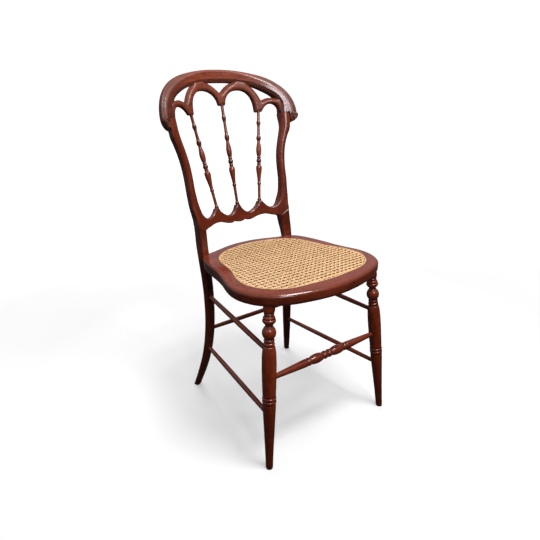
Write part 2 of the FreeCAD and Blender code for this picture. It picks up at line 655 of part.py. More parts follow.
for side, sx in SIDES:
    L = val("crest_dowel_len")
    d = back_dir(0, 0, 1)
    start = back_point(sx * 177.5, sag(177.5) + 2.7, 244.0 - L / 2)
    CREST_DOWELS.append(rod("crest_dowel_" + side, "dims.crest_dowel_rad", "dims.crest_dowel_len", start, d))
    CREST_HOLES[side] = rod("crest_hole_" + side, "dims.crest_dowel_rad + dims.fit_gap",
                            "dims.crest_dowel_len + 2 * dims.bottom_gap", start - d * 0.5, d)
node("crest_dowels", group("crest_dowels", CREST_DOWELS))

# arcade rail, four arches and three pendants
ARC_DOWELS, ARC_HOLES = [], []
for side, sx in SIDES:
    L = val("arcade_dowel_len")
    for k, (x, s, dx, dn, ds) in enumerate(((60.0, 329.8, 0.0, 0.0, 1.0), (163.3, 278.8, 0.82, -0.40, 0.57))):
        d = back_dir(sx * dx, dn, ds)
        d.normalize()
        start = back_point(sx * x, sag(x) + 2.2, s) - d * (L / 2)
        ARC_DOWELS.append(rod("arcade_dowel_%s_%d" % (side, k), "dims.arcade_dowel_rad", "dims.arcade_dowel_len", start, d))
        ARC_HOLES.append(rod("arcade_hole_%s_%d" % (side, k), "dims.arcade_dowel_rad + dims.fit_gap",
                             "dims.arcade_dowel_len + 2 * dims.bottom_gap", start - d * 0.5, d))
node("arcade_dowels", group("arcade_dowels", ARC_DOWELS))

crest_plain = common("crest_rail_curved", crest, frame_shell)
node("crest_rail", cut("crest_rail", crest_plain, [CREST_HOLES["left"], CREST_HOLES["right"]] + ARC_HOLES))

LARGE = [(11.0, 281.0), (12.6, 289.0), (20.0, 302.0), (34.5, 312.6), (55.0, 316.6), (75.0, 312.4), (89.0, 300.0),
         (96.8, 280.0), (98.6, 256.5)]
SMALL = [(119.8, 256.5), (123.6, 261.5), (131.0, 268.2), (141.0, 272.4), (150.0, 272.2), (158.0, 267.5), (162.9, 259.5), (164.4, 250.5)]
arc = []
arc += [LARGE, ((98.6, 256.5), (100.8, 253.0)), ((100.8, 253.0), (117.4, 253.0)), ((117.4, 253.0), (119.8, 256.5)), SMALL]
arc += [((164.4, 250.5), (172.0, 250.5)), ((172.0, 250.5), (172.0, 291.0)), ((172.0, 291.0), (157.0, 291.0))]
arc += [((157.0, 291.0), (154.0, 286.6)), [(154.0, 286.6), (145.0, 289.2), (134.0, 288.6), (121.5, 284.6)],
        [(121.5, 284.6), (116.8, 299.5), (106.0, 317.5)]]
arc += [((106.0, 317.5), (104.0, 324.5)), ((104.0, 324.5), (27.0, 340.0)), ((27.0, 340.0), (25.0, 333.0))]
arc += [[(25.0, 333.0), (12.0, 325.5), (0.0, 313.6)]]


def flip_pieces(pieces):
    out = []
    for p in reversed(pieces):
        out.append(tuple(flip(p)[::-1]) if len(p) == 2 else flip(p)[::-1])
    return out


bottom = [((-11.0, 281.0), (-9.0, 277.5)), ((-9.0, 277.5), (9.0, 277.5)), ((9.0, 277.5), (11.0, 281.0))]
arcade = outline_pad("arcade_rail", "XZ_Plane", bottom + arc + flip_pieces(arc), "dims.pad_depth", True)
arcade.Placement = BACK
arcade_fit = cut("arcade_fitted", arcade, [crest])
arcade_plain = common("arcade_curved", arcade_fit, arcade_shell)

# cross rail, scalloped above and below
TOP_A = [(5.5, 3.0), (9.5, -5.5), (19.0, -17.0), (33.8, -22.7), (49.0, -17.6), (62.0, -7.5), (68.3, 3.0)]
TOP_B = [(78.8, 3.0), (86.0, -7.5), (96.5, -16.5), (108.7, -20.3), (119.0, -17.0)]
LOW = [(119.0, -46.6), (110.3, -44.2), (95.0, -39.2), (79.5, -37.0), (65.0, -37.8), (50.0, -41.2), (37.0, -45.0), (29.4, -45.6),
       (22.5, -43.4), (16.4, -42.6), (9.0, -44.8), (0.0, -46.4)]
cross = outline_pad("cross_rail", "XZ_Plane", [
    ((-5.5, 3.0), (5.5, 3.0)), TOP_A, ((68.3, 3.0), (78.8, 3.0)), TOP_B, ((119.0, -17.0), (119.0, -46.6)),
    LOW + flip(LOW)[::-1][1:], ((-119.0, -46.6), (-119.0, -17.0)), flip(TOP_B)[::-1], ((-78.8, 3.0), (-68.3, 3.0)), flip(TOP_A)[::-1],
], "dims.pad_depth", True)
cross.Placement = BACK
cross_plain = common("cross_rail_curved", cross, frame_shell)

RAIL_DOWELS, RAIL_HOLES = [], {"left": [], "right": []}
for side, sx in SIDES:
    for k, s in enumerate((-25.0, -38.5)):
        L = val("rail_dowel_len")
        slope = 119.0 / math.sqrt(RC * RC - 119.0 ** 2)
        d = back_dir(sx, -slope, 0)
        d.normalize()
        start = back_point(sx * 119.0, sag(119.0) + 2.7, s) - d * (L / 2)
        RAIL_DOWELS.append(rod("rail_dowel_%s_%d" % (side, k), "dims.rail_dowel_rad", "dims.rail_dowel_len", start, d))
        RAIL_HOLES[side].append(rod("rail_hole_%s_%d" % (side, k), "dims.rail_dowel_rad + dims.fit_gap",
                                    "dims.rail_dowel_len + 2 * dims.bottom_gap", start - d * 0.5, d))
node("cross_rail_dowels", group("cross_rail_dowels", RAIL_DOWELS))

# stiles
INNER = [(119.0, -17.0), (128.0, -7.6), (134.0, 7.0), (137.4, 22.7), (139.0, 43.2), (139.7, 63.7), (139.8, 84.3), (140.4, 104.9),
         (142.2, 125.3), (145.7, 145.6), (150.6, 165.7), (156.2, 185.7), (161.6, 205.7), (165.6, 225.8), (167.5, 244.0)]
OUT = [(189.5, 212.8), (185.6, 200.0), (178.6, 183.0), (171.6, 163.3), (166.2, 143.3), (162.8, 123.1), (160.6, 102.7),
       (159.7, 82.2), (159.6, 61.6), (160.2, 41.0), (160.6, 23.0), (158.6, 7.0), (155.4, -8.0), (153.8, -20.0), (154.0, -31.5)]
for side, sx in SIDES:
    pieces = [INNER, ((167.5, 244.0), (189.5, 244.0)), ((189.5, 244.0), (189.5, 212.8)), OUT,
              ((154.0, -31.5), (127.0, -50.48)), ((127.0, -50.48), (119.0, -46.6)), ((119.0, -46.6), (119.0, -17.0))]
    if sx < 0:
        pieces = flip_pieces(pieces)
    name = "back_stile_" + side
    stile = outline_pad(name, "XZ_Plane", pieces, "dims.pad_depth", True)
    stile.Placement = BACK
    node(name, cut(name, common(name + "_curved", stile, frame_shell),
                   [CREST_HOLES[side], FOOT_HOLES[side]] + RAIL_HOLES[side]))

# spindles
SPIN_LOW, SPIN_HIGH = [], []
for label, prefix, x0, x1, s1 in (("spindle_left", "sspin", 72.5, 108.2, 253.0), ("spindle_right", "sspin", -72.5, -108.2, 253.0),
                                  ("spindle_centre", "cspin", 0.0, 0.0, 277.5)):
    lo = V(x0, sag(x0), 3.0)
    hi = V(x1, sag(x1), s1)
    d = hi - lo
    d.normalize()
    body = turned(label, prefix)
    body.Placement = BACK.multiply(Placement(lo - d * 14.0, Rotation(V(0, 0, 1), d)))
    node(label, body)
    dw = BACK.Rotation.multVec(d)
    SPIN_LOW.append(rod(label + "_low_hole", "dims.spindle_tenon_rad + dims.fit_gap", "dims.spindle_tenon_len + 20",
                        BACK.multVec(lo) - dw * 10.5, dw))
    SPIN_HIGH.append(rod(label + "_high_hole", "dims.spindle_tenon_rad + dims.fit_gap", "dims.spindle_tenon_len + 10.5",
                         BACK.multVec(hi) - dw * 10.0, dw))
    SPIN_LOW.append(rod(label + "_low_seat", "6.6", "10", BACK.multVec(lo), dw))
    SPIN_HIGH.append(rod(label + "_high_seat", "5.6", "10", BACK.multVec(hi), dw * -1.0))
node("cross_rail", cut("cross_rail", cross_plain, SPIN_LOW + RAIL_HOLES["left"] + RAIL_HOLES["right"]))
node("arcade_rail", cut("arcade_rail", arcade_plain, SPIN_HIGH + ARC_HOLES))

# -------------------------------------------------------------------- output

doc.recompute()
bad = [o.Name for o in doc.Objects if "Invalid" in o.State or "Error" in o.State]
if bad:
    raise RuntimeError("objects not built: %s" % bad)
box = FreeCAD.BoundBox()
for name in sorted(NODES):
    shape = NODES[name].Shape
    if shape.isNull() or not shape.isValid():
        raise RuntimeError("shape of %s is not valid" % name)
    box.add(shape.optimalBoundingBox(False))
    print("%-28s solids %d  volume %9.0f" % (name, len(shape.Solids), shape.Volume))
print("box", box)
os.makedirs("parts", exist_ok=True)
for name in sorted(NODES):
    NODES[name].Shape.exportStep(os.path.join("parts", name + ".step"))
print("nodes", len(NODES))
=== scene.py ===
import math

import bpy
import numpy as np
from mathutils import Matrix, Vector
from mathutils.geometry import delaunay_2d_cdt
from mathutils.kdtree import KDTree


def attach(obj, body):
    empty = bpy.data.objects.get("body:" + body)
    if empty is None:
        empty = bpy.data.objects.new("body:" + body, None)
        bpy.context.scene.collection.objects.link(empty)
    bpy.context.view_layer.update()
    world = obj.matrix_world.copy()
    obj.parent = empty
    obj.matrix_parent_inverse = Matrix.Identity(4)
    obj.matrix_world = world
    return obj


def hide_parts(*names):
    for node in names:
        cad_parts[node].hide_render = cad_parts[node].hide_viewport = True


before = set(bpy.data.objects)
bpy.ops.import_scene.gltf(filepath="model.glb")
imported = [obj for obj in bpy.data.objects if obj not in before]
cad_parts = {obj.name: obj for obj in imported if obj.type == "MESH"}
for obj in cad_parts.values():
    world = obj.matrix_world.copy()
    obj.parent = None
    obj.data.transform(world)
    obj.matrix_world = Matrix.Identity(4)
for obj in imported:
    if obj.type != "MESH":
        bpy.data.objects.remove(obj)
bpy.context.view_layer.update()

MM = 0.001
YS = -23.8                      # the frame's y for a y of zero in the numbers below, in millimetres
SIDES = (("left", 1.0), ("right", -1.0))

# ------------------------------------------------------------------- curves


def pchip(xs, ys, xq):
    """Monotone cubic through points: no overshoot between the beads of a turning."""
    xs, ys, xq = np.asarray(xs, float), np.asarray(ys, float), np.asarray(xq, float)
    h = np.diff(xs)
    m = np.diff(ys) / h
    d = np.zeros(len(xs))
    for i in range(1, len(xs) - 1):
        if m[i - 1] * m[i] > 0:
            w1, w2 = 2 * h[i] + h[i - 1], h[i] + 2 * h[i - 1]
            d[i] = (w1 + w2) / (w1 / m[i - 1] + w2 / m[i])
    d[0], d[-1] = m[0], m[-1]
    k = np.clip(np.searchsorted(xs, xq) - 1, 0, len(h) - 1)
    t = (xq - xs[k]) / h[k]
    return ((1 + 2 * t) * (1 - t) ** 2 * ys[k] + t * (1 - t) ** 2 * h[k] * d[k]
            + t * t * (3 - 2 * t) * ys[k + 1] + t * t * (t - 1) * h[k] * d[k + 1])


def spline_1d(t, y, tq, closed):
    """Cubic spline, natural or periodic, of one coordinate."""
    n = len(t)
    h = np.diff(t)
    a = np.zeros((n, n))
    b = np.zeros(n)
    for i in range(1, n - 1):
        a[i, i - 1], a[i, i], a[i, i + 1] = h[i - 1], 2 * (h[i - 1] + h[i]), h[i]
        b[i] = 6 * ((y[i + 1] - y[i]) / h[i] - (y[i] - y[i - 1]) / h[i - 1])
    if closed:
        a[0, 0], a[0, -1] = 1, -1
        a[-1, 0], a[-1, 1], a[-1, -2], a[-1, -1] = 2 * h[0], h[0], h[-1], 2 * h[-1]
        b[-1] = 6 * ((y[1] - y[0]) / h[0] - (y[-1] - y[-2]) / h[-1])
    else:
        a[0, 0] = a[-1, -1] = 1
    m = np.linalg.solve(a, b)
    k = np.clip(np.searchsorted(t, tq, side="right") - 1, 0, n - 2)
    dx, hh = tq - t[k], h[k]
    return (y[k] + dx * ((y[k + 1] - y[k]) / hh - hh * (2 * m[k] + m[k + 1]) / 6)
            + dx ** 2 * m[k] / 2 + dx ** 3 * (m[k + 1] - m[k]) / (6 * hh))


def resample(pts, step=None, count=None, closed=False):
    """Points at even distances along a polyline."""
    pts = np.asarray(pts, float)
    if closed:
        pts = np.vstack([pts, pts[:1]])
    s = np.concatenate([[0], np.cumsum(np.linalg.norm(np.diff(pts, axis=0), axis=1))])
    n = count if count else max(2, int(math.ceil(s[-1] / step)) + 1)
    q = np.linspace(0, s[-1], n + 1)[:-1] if closed else np.linspace(0, s[-1], n)
    return np.stack([np.interp(q, s, pts[:, i]) for i in range(pts.shape[1])], 1)


def curve(points, step=1.0, closed=False):
    """A smooth curve through points, at even steps."""
    p = np.asarray(points, float)
    if closed:
        p = np.vstack([p, p[:1]])
    t = np.concatenate([[0], np.cumsum(np.linalg.norm(np.diff(p, axis=0), axis=1))])
    fine = np.linspace(0, t[-1], int(t[-1] / 0.4) + 2)
    q = np.stack([spline_1d(t, p[:, i], fine, closed) for i in range(p.shape[1])], 1)
    if closed:
        return resample(q[:-1], step=step, closed=True)
    return resample(q, step=step)


def flip(points):
    q = np.array(points, float)
    q[:, 0] *= -1
    return q


def dist(points, line):
    """Distance of each point to a polyline."""
    points, line = np.asarray(points, float), np.asarray(line, float)
    a, b = line[:-1], line[1:]
    ab = b - a
    ll = np.maximum((ab ** 2).sum(1), 1e-12)
    out = np.empty(len(points))
    for i in range(0, len(points), 2000):
        p = points[i:i + 2000, None, :]
        t = np.clip(((p - a) * ab).sum(2) / ll, 0, 1)
        out[i:i + 2000] = np.sqrt(((p - (a + t[..., None] * ab)) ** 2).sum(2).min(1))
    return out


def inside(points, poly):
    x, y = points[:, 0], points[:, 1]
    res = np.zeros(len(points), bool)
    j = len(poly) - 1
    for i in range(len(poly)):
        xi, yi, xj, yj = poly[i][0], poly[i][1], poly[j][0], poly[j][1]
        if yi != yj:
            c = ((yi > y) != (yj > y)) & (x < (xj - xi) * (y - yi) / (yj - yi) + xi)
            res ^= c
        j = i
    return res


def smooth(a, b, v):
    t = np.clip((np.asarray(v, float) - a) / (b - a), 0, 1)
    return t * t * (3 - 2 * t)


def round_over(d, r, h):
    """How far a rounded arris of reach r and fall h lies below the face, at distance d from the edge."""
    k = 1 - np.clip(np.asarray(d, float) / r, 0, 1)
    return h * (1 - np.sqrt(np.maximum(0, 1 - k * k)))


# ---------------------------------------------------------------- materials


def new_material(name):
    m = bpy.data.materials.new(name)
    m.use_nodes = True
    nt = m.node_tree
    bsdf = nt.nodes["Principled BSDF"]
    return m, nt, bsdf


def link(nt, a, b):
    nt.links.new(a, b)


def noise(nt, vec, scale, detail, rough, dist_=0.0):
    n = nt.nodes.new("ShaderNodeTexNoise")
    n.inputs["Scale"].default_value = scale
    n.inputs["Detail"].default_value = detail
    n.inputs["Roughness"].default_value = rough
    n.inputs["Distortion"].default_value = dist_
    link(nt, vec, n.inputs["Vector"])
    return n.outputs["Fac"]


def ramp(nt, fac, stops):
    r = nt.nodes.new("ShaderNodeValToRGB")
    el = r.color_ramp.elements
    while len(el) < len(stops):
        el.new(0.5)
    for e, (pos, col) in zip(el, stops):
        e.position = pos
        e.color = (*col, 1.0) if len(col) == 3 else col
    link(nt, fac, r.inputs["Fac"])
    return r.outputs["Color"]


def mapping(nt, vec, scale):
    m = nt.nodes.new("ShaderNodeMapping")
    m.inputs["Scale"].default_value = scale
    link(nt, vec, m.inputs["Vector"])
    return m.outputs["Vector"]


def mix(nt, mode, fac, a, b):
    m = nt.nodes.new("ShaderNodeMix")
    m.data_type = "RGBA"
    m.blend_type = mode
    if isinstance(fac, (int, float)):
        m.inputs[0].default_value = fac
    else:
        link(nt, fac, m.inputs[0])
    for sock, v in ((m.inputs[6], a), (m.inputs[7], b)):
        if isinstance(v, tuple):
            sock.default_value = (*v, 1.0)
        else:
            link(nt, v, sock)
    return m.outputs[2]


def attribute(nt, name):
    a = nt.nodes.new("ShaderNodeAttribute")
    a.attribute_name = name
    return a


def math_node(nt, op, a, b):
    m = nt.nodes.new("ShaderNodeMath")
    m.operation = op
    m.use_clamp = True
    for sock, v in ((m.inputs[0], a), (m.inputs[1], b)):
        if isinstance(v, (int, float)):
            sock.default_value = v
        else:
            link(nt, v, sock)
    return m.outputs[0]


def wood(name, dark, mid_, light, rough_low, rough_high, figure=0.85, bare=False, shine=0.50):
    """Polished red-brown wood: long grain, fine pores, random wear, dark joints, painted shade in the hollows and from
    the shade attribute, painted highlights on the arrises.
    """
    m, nt, bsdf = new_material(name)
    vec = nt.nodes.new("ShaderNodeTexCoord").outputs["Object"] if bare else attribute(nt, "grain").outputs["Vector"]
    broad = noise(nt, mapping(nt, vec, (4.0, 34.0, 34.0)), 1.0, 3.0, 0.55, 0.5)
    streak = noise(nt, mapping(nt, vec, (14.0, 230.0, 230.0)), 1.0, 4.0, 0.6, 0.2)
    pores = noise(nt, mapping(nt, vec, (70.0, 1500.0, 1500.0)), 1.0, 2.0, 0.5)
    worn = noise(nt, vec, 13.0, 4.0, 0.6, 0.3)
    col = ramp(nt, broad, [(0.28, dark), (0.52, mid_), (0.76, light)])
    st = ramp(nt, streak, [(0.30, (0.74, 0.70, 0.68)), (0.52, (1.0, 1.0, 1.0)), (0.74, (1.16, 1.16, 1.16))])
    col = mix(nt, "MULTIPLY", 0.7, col, st)
    fig = noise(nt, mapping(nt, vec, (75.0, 170.0, 170.0)), 1.0, 4.0, 0.7, 0.4)
    col = mix(nt, "MULTIPLY", figure, col, ramp(nt, fig, [(0.32, (0.62, 0.56, 0.52)), (0.50, (1.0, 1.0, 1.0)), (0.68, (1.30, 1.36, 1.42))]))
    po = ramp(nt, pores, [(0.28, (0.66, 0.62, 0.60)), (0.42, (1.0, 1.0, 1.0))])
    col = mix(nt, "MULTIPLY", 0.45, col, po)
    wn = ramp(nt, worn, [(0.42, (0.0, 0.0, 0.0)), (0.68, (1.0, 1.0, 1.0))])
    if not bare:
        col = mix(nt, "MIX", math_node(nt, "MULTIPLY", wn, 0.35), col, light)
        # painted shade: multiplies by the shade attribute set per piece (darker towards the floor, at the crest's ends
        # and cove, round the beads, on the rear legs)
        col = mix(nt, "MULTIPLY", 1.0, col, attribute(nt, "painted_shade").outputs["Color"])
        # painted highlight: lighter along the convex arrises, broken up by wear noise
        edge = math_node(nt, "MULTIPLY", attribute(nt, "arris").outputs["Fac"], math_node(nt, "ADD", math_node(nt, "MULTIPLY", wn, 0.4), 0.12))
        col = mix(nt, "MIX", edge, col, (light[0] * 1.9, light[1] * 2.2, light[2] * 2.3))
        # painted shade: darker in the hollows, together with the real dark dirt along the joints
        col = mix(nt, "MULTIPLY", attribute(nt, "crease_shade_and_joint_dirt").outputs["Fac"], col, (0.16, 0.13, 0.12))
    link(nt, col, bsdf.inputs["Base Color"])
    rr = nt.nodes.new("ShaderNodeMapRange")
    rr.inputs["From Min"].default_value = 0.3
    rr.inputs["From Max"].default_value = 0.7
    rr.inputs["To Min"].default_value = rough_low
    rr.inputs["To Max"].default_value = rough_high
    link(nt, streak, rr.inputs["Value"])
    rough = rr.outputs["Result"]
    if not bare:
        rough = math_node(nt, "ADD", rough, math_node(nt, "MULTIPLY", attribute(nt, "dull").outputs["Fac"], 0.26))
    link(nt, rough, bsdf.inputs["Roughness"])
    bsdf.inputs["Specular IOR Level"].default_value = 0.30 if bare else shine
    bsdf.inputs["Specular Tint"].default_value = (1.0, 0.90, 0.90, 1.0)
    bsdf.inputs["Coat Weight"].default_value = 0.0 if bare else 0.08
    bsdf.inputs["Coat Roughness"].default_value = 0.10
    bump = nt.nodes.new("ShaderNodeBump")
    bump.inputs["Strength"].default_value = 0.08
    bump.inputs["Distance"].default_value = 0.0003
    link(nt, pores, bump.inputs["Height"])
    link(nt, bump.outputs["Normal"], bsdf.inputs["Normal"])
    return m


def cane(name, dark, mid_, light):
    """Natural cane: pale skin, with painted shade in the crevices and along the strands' sides."""
    m, nt, bsdf = new_material(name)
    at = nt.nodes.new("ShaderNodeAttribute")
    at.attribute_name = "grain"
    sh = nt.nodes.new("ShaderNodeAttribute")
    sh.attribute_name = "skin_and_shade"
    vec = at.outputs["Vector"]
    broad = noise(nt, mapping(nt, vec, (22.0, 300.0, 300.0)), 1.0, 3.0, 0.6)
    fibre = noise(nt, mapping(nt, vec, (90.0, 2600.0, 2600.0)), 1.0, 2.0, 0.5)
    base = ramp(nt, broad, [(0.30, dark), (0.52, mid_), (0.74, light)])
    fb = ramp(nt, fibre, [(0.30, (0.80, 0.76, 0.70)), (0.55, (1.0, 1.0, 1.0))])
    col = mix(nt, "MULTIPLY", 0.6, base, fb)
    # painted shade: dark where the skin value is low, on the sides and undersides of the strands
    sk = ramp(nt, sh.outputs["Fac"], [(0.0, (0.10, 0.065, 0.04)), (0.55, (0.55, 0.47, 0.38)), (1.0, (1.0, 1.0, 1.0))])
    col = mix(nt, "MULTIPLY", 1.0, col, sk)
    link(nt, col, bsdf.inputs["Base Color"])
    rr = nt.nodes.new("ShaderNodeMapRange")
    rr.inputs["To Min"].default_value = 0.38
    rr.inputs["To Max"].default_value = 0.62
    link(nt, broad, rr.inputs["Value"])
    link(nt, rr.outputs["Result"], bsdf.inputs["Roughness"])
    bsdf.inputs["Specular IOR Level"].default_value = 0.4
    return m


CREST_WOOD = wood("polished_crest", (0.094, 0.0165, 0.0064), (0.142, 0.0272, 0.0108), (0.196, 0.0420, 0.0180), 0.17, 0.26, 0.7)
# painted shade: the arcade, stiles and cross rail use darker copies of the crest's wood
ARCADE_WOOD_SHADED = wood("polished_arcade_shaded", (0.071, 0.0125, 0.0049), (0.108, 0.0207, 0.0082), (0.149, 0.0319, 0.0137), 0.39, 0.48, 0.7, shine=0.28)
BACK_WOOD_SHADED = wood("polished_back_shaded", (0.058, 0.0078, 0.0026), (0.086, 0.0124, 0.0041), (0.122, 0.0205, 0.0074), 0.17, 0.26, 0.8)
SEAT_WOOD = wood("polished_seat", (0.078, 0.0120, 0.0045), (0.112, 0.0182, 0.0068), (0.155, 0.0290, 0.0115), 0.14, 0.23, 0.85)
LEG_WOOD = wood("polished_legs", (0.092, 0.0118, 0.0037), (0.140, 0.0195, 0.0062), (0.196, 0.0325, 0.0112), 0.14, 0.23, 1.0)
CANE_SKIN = cane("cane_strands", (0.41, 0.240, 0.110), (0.54, 0.340, 0.172), (0.65, 0.440, 0.242))
CANE_EDGE = cane("cane_edging", (0.33, 0.188, 0.083), (0.43, 0.262, 0.128), (0.53, 0.350, 0.185))
DOWEL_WOOD = wood("bare_dowels", (0.34, 0.21, 0.11), (0.46, 0.30, 0.17), (0.56, 0.39, 0.24), 0.55, 0.70, 0.3, bare=True)

# ------------------------------------------------------------ mesh assembly

piece_count = [0]


def piece(name, verts, faces, grain, material, nodes, skin_and_shade=None, sharp=48.0, dirt=None, painted_shade=None, dull=None):
    """A mesh of the chair, from vertices in millimetres, that stands for CAD nodes."""
    me = bpy.data.meshes.new(name)
    me.from_pydata((np.asarray(verts, float) * MM).tolist(), [], [list(map(int, f)) for f in faces])
    me.update()
    me.polygons.foreach_set("use_smooth", [True] * len(me.polygons))
    piece_count[0] += 1
    g = np.asarray(grain, float) * MM + np.array([0.37, 0.53, 0.71]) * piece_count[0]
    at = me.attributes.new("grain", "FLOAT_VECTOR", "POINT")
    at.data.foreach_set("vector", g.astype(np.float32).ravel())
    if skin_and_shade is not None:
        a2 = me.attributes.new("skin_and_shade", "FLOAT", "POINT")
        a2.data.foreach_set("value", np.asarray(skin_and_shade, np.float32))
    if skin_and_shade is None:
        # bend of the surface at each vertex, for painted shade in the hollows and painted highlights on the arrises
        nv, ne = len(me.vertices), len(me.edges)
        co, no, ed = np.empty(nv * 3), np.empty(nv * 3), np.empty(ne * 2, int)
        me.vertices.foreach_get("co", co)
        me.vertices.foreach_get("normal", no)
        me.edges.foreach_get("vertices", ed)
        co, no, ed = co.reshape(-1, 3), no.reshape(-1, 3), ed.reshape(-1, 2)
        d = co[ed[:, 1]] - co[ed[:, 0]]
        ll = np.maximum((d ** 2).sum(1), 1e-9)
        deg = np.bincount(ed.ravel(), minlength=nv).astype(float)
        bend = (np.bincount(ed[:, 0], (no[ed[:, 0]] * d).sum(1) / ll, nv) - np.bincount(ed[:, 1], (no[ed[:, 1]] * d).sum(1) / ll, nv)) / np.maximum(deg, 1)
        for _ in range(2):
            bend = np.clip(bend, -400, 400)
            bend = 0.5 * bend + 0.5 * (np.bincount(ed[:, 0], bend[ed[:, 1]], nv) + np.bincount(ed[:, 1], bend[ed[:, 0]], nv)) / np.maximum(deg, 1)
        crease_shade_and_joint_dirt = np.clip((bend - 15) / 130.0, 0, 1)
        if dirt is not None:
            crease_shade_and_joint_dirt = np.maximum(crease_shade_and_joint_dirt, dirt)
        shade = np.ones(nv) if painted_shade is None else np.asarray(painted_shade, float)
        matte = np.zeros(nv) if dull is None else np.asarray(dull, float)
        for nm, v in (("crease_shade_and_joint_dirt", crease_shade_and_joint_dirt), ("arris", np.clip((-bend - 90) / 260.0, 0, 1)), ("painted_shade", shade), ("dull", matte)):
            at2 = me.attributes.new(nm, "FLOAT", "POINT")
            at2.data.foreach_set("value", v.astype(np.float32))
    me.set_sharp_from_angle(angle=math.radians(sharp))
    me.materials.append(material)
    o = bpy.data.objects.new(name, me)
    bpy.context.scene.collection.objects.link(o)
    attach(o, "root")
    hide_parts(*nodes)
    return o


def grid_faces(rows, cols, wrap=True):
    f = []
    for i in range(rows - 1):
        for j in range(cols if wrap else cols - 1):
            k = (j + 1) % cols
            f.append((i * cols + j, i * cols + k, (i + 1) * cols + k, (i + 1) * cols + j))
    return f


def axis_frame(d):
    d = np.asarray(d, float) / np.linalg.norm(d)
    ref = np.array([1.0, 0, 0]) if abs(d[0]) < 0.8 else np.array([0, 0, 1.0])
    u = ref - d * (ref @ d)
    u /= np.linalg.norm(u)
    return d, u, np.cross(d, u)


def lathe(name, profile, origin, direction, material, nodes, seg=72, step=0.8, floor=False, painted_shade=None):
    """A turning: radius against distance along an axis."""
    pos, rad = np.array(profile, float).T
    q = [pos[0]]
    for a, b in zip(pos, pos[1:]):
        n = max(2, int(math.ceil((b - a) / step))) if b - a < 25 else int(math.ceil((b - a) / 4.0))
        q += list(np.linspace(a, b, n + 1)[1:])
    q = np.array(q)
    r = pchip(pos, rad, q)
    d, u, v = axis_frame(direction)
    ang = np.linspace(0, 2 * math.pi, seg, endpoint=False)
    ring = np.cos(ang)[:, None] * u + np.sin(ang)[:, None] * v
    o = np.asarray(origin, float)
    verts = o + q[:, None, None] * d + r[:, None, None] * ring[None]
    if floor:
        verts[0] -= d * (verts[0][:, 2] / d[2])[:, None]
        verts[1:4, :, 2] = np.maximum(verts[1:4, :, 2], np.array([0.25, 0.6, 0.9])[:, None])
    gr = np.stack([np.repeat(q, seg), (r[:, None] * np.cos(ang)).ravel(), (r[:, None] * np.sin(ang)).ravel()], 1)
    flat = verts.reshape(-1, 3)
    faces = grid_faces(len(q), seg)
    n = len(flat)
    ends = np.array([verts[0].mean(0), verts[-1].mean(0)])
    flat = np.vstack([flat, ends])
    gr = np.vstack([gr, [[q[0], 0, 0], [q[-1], 0, 0]]])
    top = (len(q) - 1) * seg
    for j in range(seg):
        k = (j + 1) % seg
        faces.append((n, k, j))
        faces.append((n + 1, top + j, top + k))
    return piece(name, flat, faces, gr, material, nodes, painted_shade=None if painted_shade is None else painted_shade(flat))


# --------------------------------------------------------------- front legs



def foot_shade(v):
    """Painted shade: darker towards the floor."""
    return 0.60 + 0.40 * smooth(20, 270, v[:, 2])


FOOT = np.array([196.5, -228.6 + YS, 0.0])
BALL = np.array([169.6, -190.2 + YS, 345.0])
AXIAL = np.linalg.norm(BALL - FOOT) / 345.0


def front_axis(sx):
    m = np.array([sx, 1, 1.0])
    return FOOT * m, (BALL - FOOT) * m


def front_point(z, sx):
    o, d = front_axis(sx)
    return o + d * (z / 345.0)


FRONT_LEG = [
    (0, 8.1), (2.6, 8.7), (5, 8.9), (26, 9.5), (48, 10.3), (70, 11.3), (102, 12.8), (133, 14.3), (154, 15.3), (166, 15.7),
    (169, 15.75), (170.4, 15.0), (171.6, 15.0), (173, 16.0), (176.9, 16.8), (179.5, 16.0), (180.6, 15.0), (181.6, 15.0), (183, 16.0),
    (185.4, 16.8), (187.8, 16.0), (189.2, 15.0), (190.4, 15.0), (192, 15.7), (205, 16.1), (225, 16.7), (245, 17.05), (262, 17.15), (275, 17.0),
    (288, 16.7), (297, 16.2), (306, 15.0), (312.5, 13.7), (314.2, 12.2), (315.6, 12.2), (317.2, 13.0), (319, 13.3), (321, 12.8), (322.6, 10.8), (323.6, 10.6),
    (325, 11.9), (327.2, 12.6), (329.2, 11.9), (330.6, 10.7), (331.4, 10.7), (333.2, 12.0), (336.5, 14.1), (341, 15.7), (346, 16.2),
    (351, 15.4), (355.5, 13.2), (359, 10.7), (362, 9.1), (363.6, 9.1), (366, 10.6), (368.6, 13.2), (371.5, 15.1), (374, 15.6),
    (376.2, 15.1), (377.6, 13.6), (378.6, 13.3), (380.4, 14.1), (382.4, 13.5), (384.5, 11.8), (386.2, 10.8), (387.2, 11.2), (388.8, 12.0), (390.4, 11.3),
    (391.4, 10.8), (392.4, 11.9), (395, 13.2), (399, 13.7), (404, 13.3), (408, 12.8), (411.5, 12.6),
]
for side, sx in SIDES:
    o, d = front_axis(sx)
    lathe("leg_front_" + side, [(p * AXIAL, r) for p, r in FRONT_LEG], o, d, LEG_WOOD, ["front_leg_" + side], floor=True, painted_shade=foot_shade)

# --------------------------------------------------------------- stretchers

